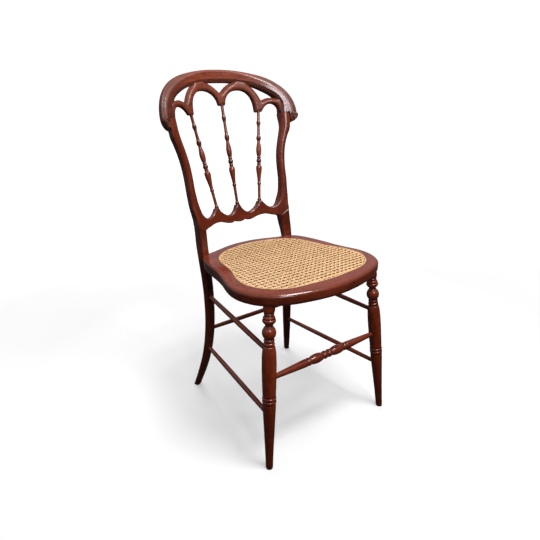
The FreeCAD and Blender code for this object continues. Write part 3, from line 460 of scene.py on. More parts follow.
REAR = np.array([
    (0, 174.9, 170.6, 15.4, 16.6), (40, 165.7, 159.5, 17.6, 18.2), (80, 157.1, 149.5, 19.6, 19.6),
    (120, 150.3, 141.8, 21.6, 19.8), (160, 145.3, 136.6, 23.2, 19.8), (200, 142.2, 133.6, 24.0, 19.8),
    (240, 140.5, 132.2, 24.4, 19.7), (280, 140.0, 132.3, 24.9, 19.8), (320, 140.4, 133.6, 25.2, 20.3),
    (360, 141.8, 136.2, 25.6, 21.0), (400, 144.0, 139.8, 25.9, 21.7), (430, 145.6, 143.4, 26.0, 22.4),
    (460, 146.0, 148.8, 26.0, 23.2), (490, 145.4, 154.2, 26.3, 23.2), (530, 145.4, 162.0, 27.0, 22.4)], float)


def rear_section(z):
    z = np.atleast_1d(np.asarray(z, float))
    return np.stack([spline_1d(REAR[:, 0], REAR[:, i], z, False) for i in range(1, 5)], 1)


def rear_point(z, sx):
    x, y = rear_section(z)[0][:2]
    return np.array([sx * x, y + YS, z])


def plain_rung(name, a, b, nodes, end=5.5, mid_=6.5):
    d = b - a
    n = np.linalg.norm(d)
    prof = [(0, end), (10, end), (22, end + 0.15), (n * 0.2, end + (mid_ - end) * 0.62), (n * 0.36, mid_), (n * 0.64, mid_),
            (n * 0.8, end + (mid_ - end) * 0.62), (n - 22, end + 0.15), (n - 10, end), (n, end)]
    return lathe(name, prof, a, d, LEG_WOOD, nodes, seg=40, step=4.0)


for side, sx in SIDES:
    for level, zr, zf in (("upper", 305.0, 298.5), ("lower", 139.5, 140.0)):
        f, r = front_point(zf, sx), rear_point(zr, sx)
        u = (r - f) / np.linalg.norm(r - f)
        plain_rung("rung_side_%s_%s" % (level, side), f + u * 3.0, r, ["side_stretcher_%s_%s" % (level, side)])
plain_rung("rung_rear", rear_point(200.0, -1) + np.array([2.0, 0, 0]), rear_point(200.0, 1) - np.array([2.0, 0, 0]), ["rear_stretcher"])

FRONT_RUNG = [
    (4.5, 6.3), (18.5, 6.3), (27.0, 6.6), (60.0, 8.0), (90.0, 9.3), (107.0, 9.95), (110.5, 10.0), (112.2, 8.9), (113.6, 8.9), (116.0, 9.9),
    (118.8, 10.3), (121.4, 9.6), (122.8, 8.8), (124.4, 9.1), (129.0, 10.2), (137.0, 11.7), (145.0, 12.1), (153.0, 11.5),
    (159.5, 10.0), (163.2, 8.7), (165.4, 8.7), (168.6, 9.8), (171.8, 10.3), (174.4, 9.5), (175.8, 8.6), (178.4, 8.5),
]
half = 178.4
full = FRONT_RUNG + [(2 * half - p, r) for p, r in reversed(FRONT_RUNG[:-1])]
fr = front_point(232.3, -1)
lathe("rung_front", full, fr, front_point(232.3, 1) - fr, LEG_WOOD, ["front_stretcher"], seg=56)

# ---------------------------------------------------------------- the back

TILT = math.radians(14.155)
CT, ST = math.cos(TILT), math.sin(TILT)
RC = 372.0


def back_map(x, s, depth):
    """Leaning, curved back: across, up the slope, and depth behind the middle of the plank."""
    n = -RC + np.sqrt((RC + depth) ** 2 - x ** 2)
    return np.stack([x, 190.3 + YS + n * CT + s * ST, 530.0 - n * ST + s * CT], -1)


def sag(x):
    return -(RC - math.sqrt(RC * RC - x * x))


def back_point(x, n, s):
    return np.array([x, 190.3 + YS + n * CT + s * ST, 530.0 - n * ST + s * CT])


def plank(name, pieces, front, back, grain_of, material, nodes, step=1.1, fine=1.7, extra=None, soften=0, painted_shade=None, dull=None):
    """A curved plank from its elevation. pieces are (curve, free?) in order round the outline, where None is a
    close joint; front and back give the depth of each face at (points, distance to the free edges)."""
    pts, free, joint = [], [], []
    for line, is_free in pieces:
        line = resample(np.asarray(line, float), step=step)
        pts.append(line[:-1])
        if is_free is not None:
            (free if is_free else joint).append(line)
    poly = np.vstack(pts)
    area = 0.5 * np.sum(poly[:, 0] * np.roll(poly[:, 1], -1) - np.roll(poly[:, 0], -1) * poly[:, 1])
    if area < 0:
        poly = poly[::-1]
    closed = np.vstack([poly, poly[:1]])
    tang = np.roll(poly, -1, 0) - np.roll(poly, 1, 0)
    tang /= np.maximum(np.linalg.norm(tang, axis=1), 1e-9)[:, None]
    norm = np.stack([-tang[:, 1], tang[:, 0]], 1)
    cloud = []
    for off in (0.3, 0.75, 1.4, 2.2):
        q = poly + norm * off
        q = q[inside(q, poly)]
        cloud.append(q[dist(q, closed) > off * 0.93])
    lo, hi = poly.min(0), poly.max(0)
    gx, gy = np.meshgrid(np.arange(lo[0], hi[0], fine), np.arange(lo[1], hi[1], fine * 0.866))
    gx[1::2] += fine / 2
    g = np.stack([gx.ravel(), gy.ravel()], 1)
    g = g[inside(g, poly)]
    g = g[dist(g, closed) > 2.2 + fine * 0.6]
    if extra is not None:
        # rows of points along the mouldings, so that the mesh follows them
        e = extra[inside(extra, poly)]
        e = e[dist(e, closed) > 2.9]
        keep, tree = [], KDTree(len(e))
        for i, q in enumerate(e.tolist()):
            tree.insert((q[0], q[1], 0.0), i)
        tree.balance()
        dropped = set()
        for i, q in enumerate(e.tolist()):
            if i not in dropped:
                keep.append(i)
                for _, k, _ in tree.find_range((q[0], q[1], 0.0), 0.42):
                    if k > i:
                        dropped.add(k)
        e = e[keep]
        tree = KDTree(len(e))
        for i, q in enumerate(e.tolist()):
            tree.insert((q[0], q[1], 0.0), i)
        tree.balance()
        g = np.array([q for q in g.tolist() if tree.find((q[0], q[1], 0.0))[2] > fine * 0.62])
        cloud.append(e)
    cloud.append(g)
    allp = np.vstack([poly] + cloud)
    m = len(poly)
    out = delaunay_2d_cdt([Vector(p) for p in allp.tolist()], [(i, (i + 1) % m) for i in range(m)], [], 1, 1e-5)
    p2 = np.array([tuple(v) for v in out[0]])
    tris = np.array(out[2])
    a, b, c = p2[tris[:, 0]], p2[tris[:, 1]], p2[tris[:, 2]]
    cr = (b[:, 0] - a[:, 0]) * (c[:, 1] - a[:, 1]) - (b[:, 1] - a[:, 1]) * (c[:, 0] - a[:, 0])
    tris[cr < 0] = tris[cr < 0][:, ::-1]
    d = np.min([dist(p2, f) for f in free], 0)
    zf, zb = front(p2, d), back(p2, d)
    n = len(p2)
    if soften:
        ed = np.unique(np.sort(np.vstack([tris[:, [0, 1]], tris[:, [1, 2]], tris[:, [2, 0]]]), axis=1), axis=0)
        deg = np.bincount(ed.ravel(), minlength=n).astype(float)
        hold = dist(p2, closed) < 0.6
        for _ in range(soften):
            av = (np.bincount(ed[:, 0], zf[ed[:, 1]], n) + np.bincount(ed[:, 1], zf[ed[:, 0]], n)) / np.maximum(deg, 1)
            zf = np.where(hold, zf, 0.45 * zf + 0.55 * av)
    dirt = 0.85 * np.exp(-(np.min([dist(p2, f) for f in joint], 0) / 0.75) ** 2) if joint else np.zeros(n)
    stain = [dirt, dirt]
    shade = painted_shade(p2) if painted_shade else np.ones(n)
    shades = [shade, np.ones(n)]
    matte = dull(p2) if dull else np.zeros(n)
    mattes = [matte, matte]
    # seen from the front, x runs right and s up, so a counter-clockwise face looks to the front
    vf, vb = back_map(p2[:, 0], p2[:, 1], zf), back_map(p2[:, 0], p2[:, 1], zb)
    faces = [tuple(t) for t in tris] + [(t[0] + n, t[2] + n, t[1] + n) for t in tris]
    edges = {}
    for t in tris:
        for i in range(3):
            edges[(t[i], t[(i + 1) % 3])] = True
    rim = [e for e in edges if (e[1], e[0]) not in edges]
    verts = [vf, vb]
    grain = [grain_of(p2, zf), grain_of(p2, zb)]
    rim_ids = sorted({v for e in rim for v in e})
    levels = []
    total = 2 * n
    for t in (0.06, 0.5, 0.94):
        z = zf[rim_ids] * (1 - t) + zb[rim_ids] * t
        verts.append(back_map(p2[rim_ids, 0], p2[rim_ids, 1], z))
        grain.append(grain_of(p2[rim_ids], z))
        stain.append(dirt[rim_ids])
        shades.append(shade[rim_ids] * (1 - t) + t)
        mattes.append(matte[rim_ids])
        levels.append({v: total + i for i, v in enumerate(rim_ids)})
        total += len(rim_ids)
    chain = [lambda v: v] + [lv.__getitem__ for lv in levels] + [lambda v: v + n]
    for i, j in rim:
        for f0, f1 in zip(chain, chain[1:]):
            faces.append((f0(j), f0(i), f1(i), f1(j)))
    return piece(name, np.vstack(verts), faces, np.vstack(grain), material, nodes, dirt=np.concatenate(stain), painted_shade=np.concatenate(shades),
                 dull=np.concatenate(mattes))


def grain_x(p, z):
    return np.stack([p[:, 0], p[:, 1], z], 1)


def grain_s(p, z):
    return np.stack([p[:, 1], p[:, 0], z], 1)


UNDER = curve([(167.5, 244.0), (166.6, 258.0), (162.6, 272.5), (154.2, 287.0), (143.0, 297.2), (130.0, 305.6), (106.0, 317.7),
               (80.0, 326.2), (50.0, 331.2), (25.3, 333.2), (0.0, 333.7), (-25.3, 333.2), (-50.0, 331.2), (-80.0, 326.2),
               (-106.0, 317.7), (-130.0, 305.6), (-143.0, 297.2), (-154.2, 287.0), (-162.6, 272.5), (-166.6, 258.0), (-167.5, 244.0)])
OVER_R = [(190.5, 212.5), (198.0, 215.2), (206.0, 222.3), (211.0, 232.0), (212.3, 244.0), (210.2, 262.0), (204.5, 281.0),
          (194.5, 300.5), (185.0, 313.0), (171.5, 326.2), (153.0, 339.6), (122.0, 353.4), (97.0, 360.3), (44.0, 369.4), (0.0, 371.5)]
OVER = curve(list(flip(OVER_R)) + OVER_R[::-1][1:])          # from the right ear over the top to the left ear


EAR = (200.4, 228.6)                                              # middle of the scroll


def spread(x):
    """0 along the middle of the crest, 1 towards the ears."""
    return smooth(35, 170, np.abs(x))


def normals_in(line, toward_point):
    t = np.gradient(line, axis=0)
    t /= np.linalg.norm(t, axis=1)[:, None]
    n = np.stack([-t[:, 1], t[:, 0]], 1)
    k = len(line) // 2
    if np.linalg.norm(line[k] + n[k] - toward_point) > np.linalg.norm(line[k] - n[k] - toward_point):
        n = -n
    return n


def bevel_width(x):
    return 5.5 + 11.5 * spread(x)


def cove_width(x):
    return 8.8 - 1.0 * spread(x)


UNDER = UNDER + normals_in(UNDER, np.array([0.0, 500.0])) * (4.5 * smooth(247, 275, UNDER[:, 1]))[:, None]
n_over, n_under = normals_in(OVER, np.array([0.0, 200.0])), normals_in(UNDER, np.array([0.0, 500.0]))
CONTACT = UNDER + n_under * (5.5 * smooth(244.5, 256, UNDER[:, 1]))[:, None]      # the arcade's top, let into the cove
rows_ = [OVER + n_over * (f * bevel_width(OVER[:, 0]))[:, None] for f in (0.22, 0.28, 0.34, 0.40, 0.46, 0.55, 0.7, 0.85, 0.95, 1.0, 1.05, 1.15)]
rows_ += [UNDER + n_under * (f * cove_width(UNDER[:, 0]))[:, None] for f in (0.25, 0.5, 0.75, 0.9, 0.97, 1.03, 1.1, 1.25)]
rings_ = []
for r_ in np.arange(0.7, 13.6, 0.7):
    a_ = np.linspace(0, 2 * math.pi, max(6, int(2 * math.pi * r_ / 0.75)), endpoint=False)
    for sx in (1, -1):
        rings_.append(np.stack([sx * EAR[0] + r_ * np.cos(a_), EAR[1] + r_ * np.sin(a_)], 1))
clear = [q[np.hypot(np.abs(q[:, 0]) - EAR[0], q[:, 1] - EAR[1]) > 14.0] for q in rows_]
CREST_ROWS = np.vstack(rings_ + clear)


def crest_front(p, d):
    di, do = dist(p, UNDER), dist(p, OVER)
    k = spread(p[:, 0])
    wb, wc = bevel_width(p[:, 0]), cove_width(p[:, 0])
    tail = smooth(240, 275, p[:, 1])                              # the mouldings run out above the stile
    z = -7.0 + (3.2 + 6.6 * k) * np.clip(1 - do / wb, 0, 1) ** 1.25
    z += round_over(do, 3.2, 1.8)
    z += 0.9 * k * np.exp(-((do / wb - 0.36) / 0.075) ** 2)      # groove inside the outer bead
    z += 0.5 * np.exp(-((do - wb) / 0.9) ** 2) * k                # quirk where the bevel meets the flat
    z += (2.0 + (3.6 - 1.2 * k) * tail) * np.clip(1 - di / wc, 0, 1) ** 1.15
    z += round_over(di, 1.4, 0.5)
    # scroll on the ear: a round boss with a spiral channel
    for sx in (1, -1):
        dx, ds = sx * p[:, 0] - EAR[0], p[:, 1] - EAR[1]
        r, a = np.hypot(dx, ds), np.arctan2(ds, dx)
        w = smooth(13.2, 11.2, r)
        turn = ((math.radians(65.0) - a) / (2 * math.pi)) % 1.0
        chan = np.zeros(len(p))
        for q in (0, 1, 2):
            rt = 10.6 - 3.7 * (turn + q)
            chan = np.maximum(chan, np.exp(-((r - rt) / 0.8) ** 2) * smooth(1.2, 2.6, rt))
        boss = -8.6 + 0.022 * r ** 2 + round_over(do, 4.2, 4.2)
        z = z * (1 - w) + (boss + 2.3 * chan) * w
    return z


def crest_shade(p):
    """Painted shade: darker towards the ears and in the cove."""
    di = dist(p, UNDER) / cove_width(p[:, 0])
    return (1.0 - 0.50 * smooth(50, 160, np.abs(p[:, 0]))) * (1.0 - 0.45 * smooth(1.02, 0.9, di))


def crest_dull(p):
    """The polish has gone flatter on the outer bevel and in the cove."""
    do, di = dist(p, OVER) / bevel_width(p[:, 0]), dist(p, UNDER) / cove_width(p[:, 0])
    return np.maximum(1.6 * smooth(1.15, 0.85, do), 1.5 * smooth(1.1, 0.8, di))


def crest_back(p, d):
    return 12.5 + 4.5 * smooth(70, 140, np.abs(p[:, 0])) - np.maximum(round_over(dist(p, OVER), 6.0, 3.0), round_over(dist(p, UNDER), 7.0, 5.0))


ear_in = [(189.5, 244.0), (189.5, 212.8), (190.5, 212.5)]
plank("hoop_crest", [
    (UNDER, True),
    ([(-167.5, 244.0), (-189.5, 244.0)], False), ([(-189.5, 244.0), (-189.5, 212.8)], False), ([(-189.5, 212.8), (-190.5, 212.5)], True),
    (OVER, True),
    ([(190.5, 212.5), (189.5, 212.8)], True), ([(189.5, 212.8), (189.5, 244.0)], False), ([(189.5, 244.0), (167.5, 244.0)], False),
], crest_front, crest_back, grain_x, CREST_WOOD, ["crest_rail"], extra=CREST_ROWS, painted_shade=crest_shade,
      dull=crest_dull)

# stiles
INNER = curve([(119.0, -17.0), (128.0, -7.6), (134.0, 7.0), (137.4, 22.7), (139.0, 43.2), (139.7, 63.7), (139.8, 84.3), (140.4, 104.9),
               (142.2, 125.3), (145.7, 145.6), (150.6, 165.7), (156.2, 185.7), (161.6, 205.7), (165.6, 225.8), (167.5, 244.0)])
OUT = curve([(189.5, 212.8), (185.6, 200.0), (178.6, 183.0), (171.6, 163.3), (166.2, 143.3), (162.8, 123.1), (160.6, 102.7),
             (159.7, 82.2), (159.6, 61.6), (160.2, 41.0), (160.6, 23.0), (158.6, 7.0), (155.4, -8.0), (153.8, -20.0), (154.0, -31.5)])
INNER[:, 0] += 2.6 * smooth(15, 65, INNER[:, 1]) * smooth(238, 190, INNER[:, 1])
OUT[:, 0] += 3.6 * smooth(15, 65, OUT[:, 1]) * smooth(216, 190, OUT[:, 1])


def stile_depth(x, s):
    """Depth of the stile's back: the stile is deeper than the cross rail, most of all above the leg."""
    return 12.5 + (4.5 + 5.0 * np.exp(-((s + 26.0) / 80.0) ** 2)) * smooth(119, 139, x)


OUT_EXT = np.vstack([[(189.5, 262.0)], OUT, [(155.5, -60.0)]])
IN_EXT = np.vstack([INNER, [(167.8, 262.0)]])
for side, sx in SIDES:
    k = np.array([sx, 1.0])

    def stile_front(p, d, k=k):
        q = p * k
        di, do = dist(q, IN_EXT), dist(q, OUT_EXT)
        u = di / np.maximum(di + do, 1e-6)
        low = smooth(30, -26, q[:, 1])                            # the ridge fades where the stile meets leg and cross rail
        high = smooth(160, 222, q[:, 1])                          # and under the scroll
        z = -7.0 + 2.2 * np.clip(1 - u / 0.40, 0, 1) ** 1.5 * (1 - low)
        z += 9.0 * np.clip((u - 0.50) / 0.50, 0, 1) ** 1.35 * (1 - low) * (1 - 0.55 * high)
        near = smooth(140, 119, q[:, 0]) * smooth(20, -12, q[:, 1])  # towards the cross rail, the same easing as its edges
        return z + round_over(d, 2.0, 1.6) * (1 - near) + round_over(d, 5.0, 3.2) * near

    def stile_back(p, d, k=k):
        q = p * k
        slack = 9.0 * np.clip(1 - dist(q, IN_EXT) / 13.0, 0, 1) ** 1.2 * smooth(-10, 24, q[:, 1]) * smooth(244, 200, q[:, 1])      # the inner side is thinner
        return stile_depth(q[:, 0], q[:, 1]) - slack - round_over(d, 3.0, 2.2)

    pcs = [(INNER, True), ([(167.5, 244.0), (189.5, 244.0)], False), ([(189.5, 244.0), (189.5, 212.8)], False), (OUT, True),
           ([(154.0, -31.5), (127.0, -50.48)], False), ([(127.0, -50.48), (119.0, -46.6)], True), ([(119.0, -46.6), (119.0, -17.0)], None)]
    if sx < 0:
        pcs = [(flip(c)[::-1], f) for c, f in reversed(pcs)]
    plank("hoop_stile_" + side, pcs, stile_front, stile_back, grain_s, BACK_WOOD_SHADED, ["back_stile_" + side], fine=1.4)

# cross rail
TOP_A = curve([(5.5, 3.0), (9.5, -5.5), (19.0, -17.0), (33.8, -22.7), (49.0, -17.6), (62.0, -7.5), (68.3, 3.0)])
TOP_B = curve([(78.8, 3.0), (86.0, -7.5), (96.5, -16.5), (108.7, -20.3), (119.0, -17.0)])
LOW_R = [(119.0, -46.6), (110.3, -44.2), (95.0, -39.2), (79.5, -37.0), (65.0, -37.8), (50.0, -41.2), (37.0, -45.0), (29.4, -45.6),
         (22.5, -43.4), (16.4, -42.6), (9.0, -44.8), (0.0, -46.4)]
LOW = curve(LOW_R + list(flip(LOW_R)[::-1])[1:])
plank("hoop_cross_rail", [
    ([(-5.5, 3.0), (5.5, 3.0)], True), (TOP_A, True), ([(68.3, 3.0), (78.8, 3.0)], True), (TOP_B, True),
    ([(119.0, -17.0), (119.0, -46.6)], None), (LOW, True), ([(-119.0, -46.6), (-119.0, -17.0)], None),
    (flip(TOP_B)[::-1], True), ([(-78.8, 3.0), (-68.3, 3.0)], True), (flip(TOP_A)[::-1], True),
], lambda p, d: -7.0 + round_over(d, 5.0, 3.2), lambda p, d: 12.5 - round_over(d, 4.0, 3.0),
    grain_x, BACK_WOOD_SHADED, ["cross_rail"])

# arcade
LARGE = curve([(11.0, 281.0), (12.6, 289.0), (20.0, 302.0), (34.5, 312.6), (55.0, 316.6), (75.0, 312.4), (89.0, 300.0),
               (96.8, 280.0), (98.6, 256.5)])
SMALL = curve([(119.8, 256.5), (123.6, 261.5), (131.0, 268.2), (141.0, 272.4), (150.0, 272.2), (158.0, 267.5), (162.9, 259.5), (165.4, 248.0)])


def part_of_under(x0, x1):
    """The stretch of the contact with the crest between two x."""
    return CONTACT[(CONTACT[:, 0] >= x0 - 1e-6) & (CONTACT[:, 0] <= x1 + 1e-6)]


u_mid = part_of_under(45.0, 88.0)                     # runs from x = 88 down to 45
u_end = CONTACT[(CONTACT[:, 0] > 0) & (CONTACT[:, 1] >= 248.0) & (CONTACT[:, 1] <= 288.0)]      # from s = 248 up to 288
right = [
    (LARGE, True), ([(98.6, 256.5), (100.8, 253.0)], True), ([(100.8, 253.0), (117.4, 253.0)], True), ([(117.4, 253.0), (119.8, 256.5)], True),
    (np.vstack([SMALL, u_end[:1]]), True), (u_end, False),
    (np.vstack([u_end[-1:], curve([(153.0, 287.2), (145.0, 289.2), (134.0, 288.6), (121.5, 284.6)])]), True),
    (np.vstack([curve([(121.5, 284.6), (114.6, 300.0), (105.0, 314.8), (96.0, 325.0), (90.5, 330.5)]), u_mid[:1]]), True), (u_mid, False),
    (np.vstack([u_mid[-1:], curve([(42.5, 339.6), (33.5, 335.6), (22.0, 329.4), (10.0, 320.4), (0.0, 311.2)])]), True),
]
left = [(flip(c)[::-1], f) for c, f in reversed(right)]
bottom = [([(-11.0, 281.0), (-9.0, 277.5)], True), ([(-9.0, 277.5), (9.0, 277.5)], True), ([(9.0, 277.5), (11.0, 281.0)], True)]

upper = [right[6][0], right[7][0], right[9][0]]
lower = [right[0][0], right[1][0], right[2][0], right[3][0], right[4][0], bottom[0][0], bottom[1][0], bottom[2][0]]
EXTRADOS = upper + [flip(c) for c in upper]
INTRADOS = [np.asarray(c, float) for c in lower] + [flip(c) for c in lower]


def arcade_front(p, d):
    c = np.minimum(np.minimum(dist(p, u_mid), dist(p, flip(u_mid))), np.minimum(dist(p, u_end), dist(p, flip(u_end))))
    di = np.min([dist(p, e) for e in INTRADOS], 0)
    do = np.min([dist(p, e) for e in EXTRADOS], 0)
    bevel = 8.5 * np.clip(1 - do / 10.0, 0, 1) ** 1.25
    return -6.0 + np.maximum(np.maximum(round_over(di, 7.5, 5.2), bevel), round_over(c, 7.0, 4.6))


plank("hoop_arcade", bottom + right + left, arcade_front, lambda p, d: 9.5 - round_over(d, 4.0, 3.0),
      grain_x, ARCADE_WOOD_SHADED, ["arcade_rail"], fine=1.4, soften=5)

# spindles
SPINDLE = [
    (3.0, 5.4), (4.4, 5.9), (6.4, 6.1), (8.6, 5.6), (10.2, 4.6), (11.6, 4.3), (14.0, 4.2), (30.0, 4.2), (46.0, 4.3), (49.0, 4.5), (50.2, 5.2), (52.7, 5.8),
    (55.0, 5.2), (56.4, 4.6), (58.0, 4.6), (62.0, 4.9), (75.0, 6.2), (88.0, 7.9), (96.3, 8.7), (101.0, 8.3),
    (103.6, 6.9), (105.2, 5.2), (106.2, 5.1), (107.3, 5.8), (108.6, 6.1), (109.9, 5.7), (110.9, 4.9), (111.9, 4.9), (113.8, 6.4), (117.5, 7.2),
    (121.2, 6.4), (123.1, 4.9), (124.1, 4.9), (125.2, 5.7), (126.5, 6.1), (127.8, 5.7), (128.9, 5.0), (130.0, 5.1), (134.0, 6.2), (140.0, 7.3), (147.8, 7.7), (156.0, 7.0), (164.0, 5.6), (169.5, 4.6),
    (171.5, 4.4), (173.4, 4.8), (176.0, 6.0), (180.5, 6.8), (184.6, 6.1), (187.6, 4.9), (189.4, 4.6), (192.0, 4.5), (205.0, 4.1),
    (213.0, 4.0), (215.4, 4.3), (218.0, 5.2), (223.2, 6.0), (227.4, 5.2), (230.0, 4.3), (232.0, 4.1), (242.0, 4.1), (253.0, 4.3), (256.0, 4.3),
]
SIDE_MARKS = [3.0, 52.7, 96.3, 117.5, 147.8, 180.9, 223.2, 253.0, 256.0]
CENTRE_MARKS = [3.0, 59.1, 100.8, 125.2, 154.4, 191.3, 244.5, 277.5, 280.5]
for label, x0, x1, s1 in (("left", 72.5, 108.2, 253.0), ("right", -72.5, -108.2, 253.0), ("centre", 0.0, 0.0, 277.5)):
    lo, hi = back_point(x0, sag(x0), 3.0), back_point(x1, sag(x1), s1)
    n = np.linalg.norm(hi - lo)
    if label == "centre":
        prof = [(float(np.interp(p, SIDE_MARKS, CENTRE_MARKS)) - 3.0, r) for p, r in SPINDLE]
    else:
        prof = [((p - 3.0) * n / 250.0, r) for p, r in SPINDLE]

    def bead_shade(v, lo=lo, u=(hi - lo) / n, centre=label == "centre", n=n):
        """Painted shade round the beads."""
        t = (v - lo) @ u + 3.0
        p = np.interp(t, CENTRE_MARKS, SIDE_MARKS) if centre else (t - 3.0) * 250.0 / n + 3.0
        k = np.zeros(len(v))
        for b, w in ((6.0, 4.5), (52.7, 4.0), (117.5, 9.5), (180.7, 5.5), (223.2, 5.0), (252.0, 4.0)):
            k = np.maximum(k, np.exp(-((p - b) / w) ** 4))
        return 1.0 - 0.55 * k

    lathe("turned_spindle_" + label, prof, lo, hi - lo, CREST_WOOD, ["spindle_" + label], seg=40, step=0.6, painted_shade=bead_shade)

# ---------------------------------------------------------------- rear legs

PHI = math.radians(25.0)
FJ = math.radians(35.1)


def rounded_rect(w, d, r, per=6):
    """Outline of a rectangle with rounded corners, counter-clockwise, as unit steps of half width and depth."""
    pts = []
    for cx, cy, a0 in ((1, -1, -90), (1, 1, 0), (-1, 1, 90), (-1, -1, 180)):
        for i in range(per + 1):
            a = math.radians(a0 + 90.0 * i / per)
            pts.append((cx * (w / 2 - r) + r * math.cos(a), cy * (d / 2 - r) + r * math.sin(a)))
        nx, ny = ((1, 0.0), (0.0, 1), (-1, 0.0), (0.0, -1))[int((a0 + 90) / 90)]
        pts.append((nx * w / 2, ny * d / 2))
    return np.array(pts)


for side, sx in SIDES:
    zs = np.linspace(0, 530, 200)
    sec = rear_section(zs)
    lines = []
    for z, (x, y, w, d) in zip(zs, sec):
        rr = rounded_rect(w, d, 3.6)
        a = np.array([math.cos(PHI), -math.sin(PHI)])
        n = np.array([math.sin(PHI), math.cos(PHI)])
        xy = np.array([x, y]) + rr[:, :1] * a + rr[:, 1:] * n
        lines.append(np.column_stack([sx * xy[:, 0], xy[:, 1] + YS, np.full(len(xy), z)]))
    lines = np.array(lines)                                        # rows x outline x 3
    base = back_point(sx * 140.5, sag(140.5), -41.0)
    nl = np.array([-sx * math.sin(FJ), 0.0, math.cos(FJ)])         # across, depth, up the slope
    nw = np.array([nl[0], nl[1] * CT + nl[2] * ST, -nl[1] * ST + nl[2] * CT])
    rows = 110
    out = np.zeros((rows + 2, lines.shape[1], 3))
    for j in range(lines.shape[1]):
        h = (lines[:, j] - base) @ nw
        i = int(np.argmax(h > 0))
        t = -h[i - 1] / (h[i] - h[i - 1])
        z_end = zs[i - 1] + t * (zs[i] - zs[i - 1])
        zq = np.linspace(0, z_end, rows)
        for c in range(3):
            out[1:rows + 1, j, c] = np.interp(zq, zs, lines[:, j, c])
    # the last stretch grows into the section of the stile above it
    corner = {(1, -1): (154.0, -31.5, -7.0), (-1, -1): (127.0, -50.48, -7.0), (-1, 1): (127.0, -50.48, stile_depth(127.0, -50.48)), (1, 1): (154.0, -31.5, stile_depth(154.0, -31.5))}
    corner = {kk: back_map(np.array([sx * v[0]]), np.array([v[1]]), np.array([v[2]]))[0] for kk, v in corner.items()}
    unit = rounded_rect(26.4, 22.8, 3.0) / np.array([13.2, 11.4])
    for j in range(lines.shape[1]):
        a_, b_ = unit[j]
        goal = sum(corner[(i1, i2)] * (1 + i1 * a_) * (1 + i2 * b_) / 4.0 for i1 in (-1, 1) for i2 in (-1, 1))
        k_ = smooth(out[rows, j, 2] - 110.0, out[rows, j, 2] + 15.0, out[1:rows + 1, j, 2]) / smooth(-110.0, 15.0, 0.0)
        out[1:rows + 1, j] += k_[:, None] * (goal - out[rows, j])
    foot_c, top_c = out[1].mean(0), out[rows].mean(0)
    out[0] = foot_c + (out[1] - foot_c) * 0.90                     # eased foot
    out[1, :, 2] += 1.0
    out[rows + 1] = top_c + (out[rows] - top_c) * 0.985            # eased joint
    out[rows] -= nw * 0.2
    if sx < 0:
        out = out[:, ::-1]
    cols = out.shape[1]
    flat = out.reshape(-1, 3)
    gr = np.stack([flat[:, 2], flat[:, 0], flat[:, 1]], 1)
    faces = grid_faces(rows + 2, cols)
    n = len(flat)
    flat = np.vstack([flat, [out[0].mean(0), out[-1].mean(0)]])
    gr = np.vstack([gr, [[0, 0, 0], [500, 0, 0]]])
    for j in range(cols):
        k = (j + 1) % cols
        faces.append((n, k, j))
        faces.append((n + 1, (rows + 1) * cols + j, (rows + 1) * cols + k))
    # painted shade: the rear legs darker all over and darker still above the seat, on top of the darkening towards the
    # floor
    piece("leg_rear_" + side, flat, faces, gr, LEG_WOOD, ["rear_leg_" + side], painted_shade=0.68 * foot_shade(flat) * (1 - 0.38 * smooth(425, 480, flat[:, 2])))

# --------------------------------------------------------------------- seat

PIVOT_Y, SEAT_Z, SLOPE = -66.8, 436.0, math.radians(2.01)
CS, SS = math.cos(SLOPE), math.sin(SLOPE)


def seat_map(x, y, z):
    """Seat plane: x, y as in the plan, z above the top of the frame."""
    yy = y - PIVOT_Y
    return np.stack([x, PIVOT_Y + YS + yy * CS + z * SS, SEAT_Z - yy * SS + z * CS], -1)


def whole(points):
    return list(points) + [(-x, y) for x, y in reversed(points)][1:-1]


OUTER_R = [
    (0, -245.0), (40, -242.0), (88, -232.8), (130, -219.5), (161, -203.5), (185.5, -184.0), (203.5, -154.0),
    (211.8, -121.0), (210.5, -90.0), (202.5, -58.0), (191.0, -18.0), (183.5, 28.0), (178.5, 62.0),
    (172.5, 89.0), (163.5, 112.0), (148.5, 131.0), (128.0, 143.5), (106.0, 151.5), (86.0, 159.0),
    (45.0, 172.0), (0, 176.5),
]
CANE_R = [
    (0, -209.8), (37.6, -207.4), (78.9, -203.2), (125.0, -191.6), (163.0, -161.4), (181.5, -116.5),
    (176.2, -68.0), (160.4, -24.3), (151.2, 20.4), (138.6, 72.4), (103.3, 112.2), (53.6, 133.1), (0, 140.5),
]
OUTER = curve(whole(OUTER_R), step=0.5, closed=True)
CANE = curve(whole(CANE_R), step=0.5, closed=True)


def marks(loop, keys):
    return [int(np.argmin(((loop - k) ** 2).sum(1))) for k in keys]


OUT_KEYS = [(0, -245), (161, -203.5), (211.8, -121), (183.5, 28), (172.5, 89), (128, 143.5), (0, 176.5)]
CAN_KEYS = [(0, -209.8), (140, -183), (181.5, -116.5), (151.2, 20.4), (136, 76), (95, 117), (0, 140.5)]
COUNTS = [44, 30, 56, 26, 26, 44]


def matched(loop, keys):
    """Points round an outline, so many between each pair of keyed places, over both halves."""
    m = marks(loop, keys)
    out = []
    for (i, j), n in zip(zip(m, m[1:]), COUNTS):
        out.append(resample(loop[i:j + 1], count=n + 1)[:-1])
    r = np.vstack(out + [loop[m[-1]][None]])
    r[0, 0] = r[-1, 0] = 0.0
    return np.vstack([r, flip(r)[::-1][1:-1]])


RIM_O, RIM_C = matched(OUTER, OUT_KEYS), matched(CANE, CAN_KEYS)
NR = len(RIM_O)


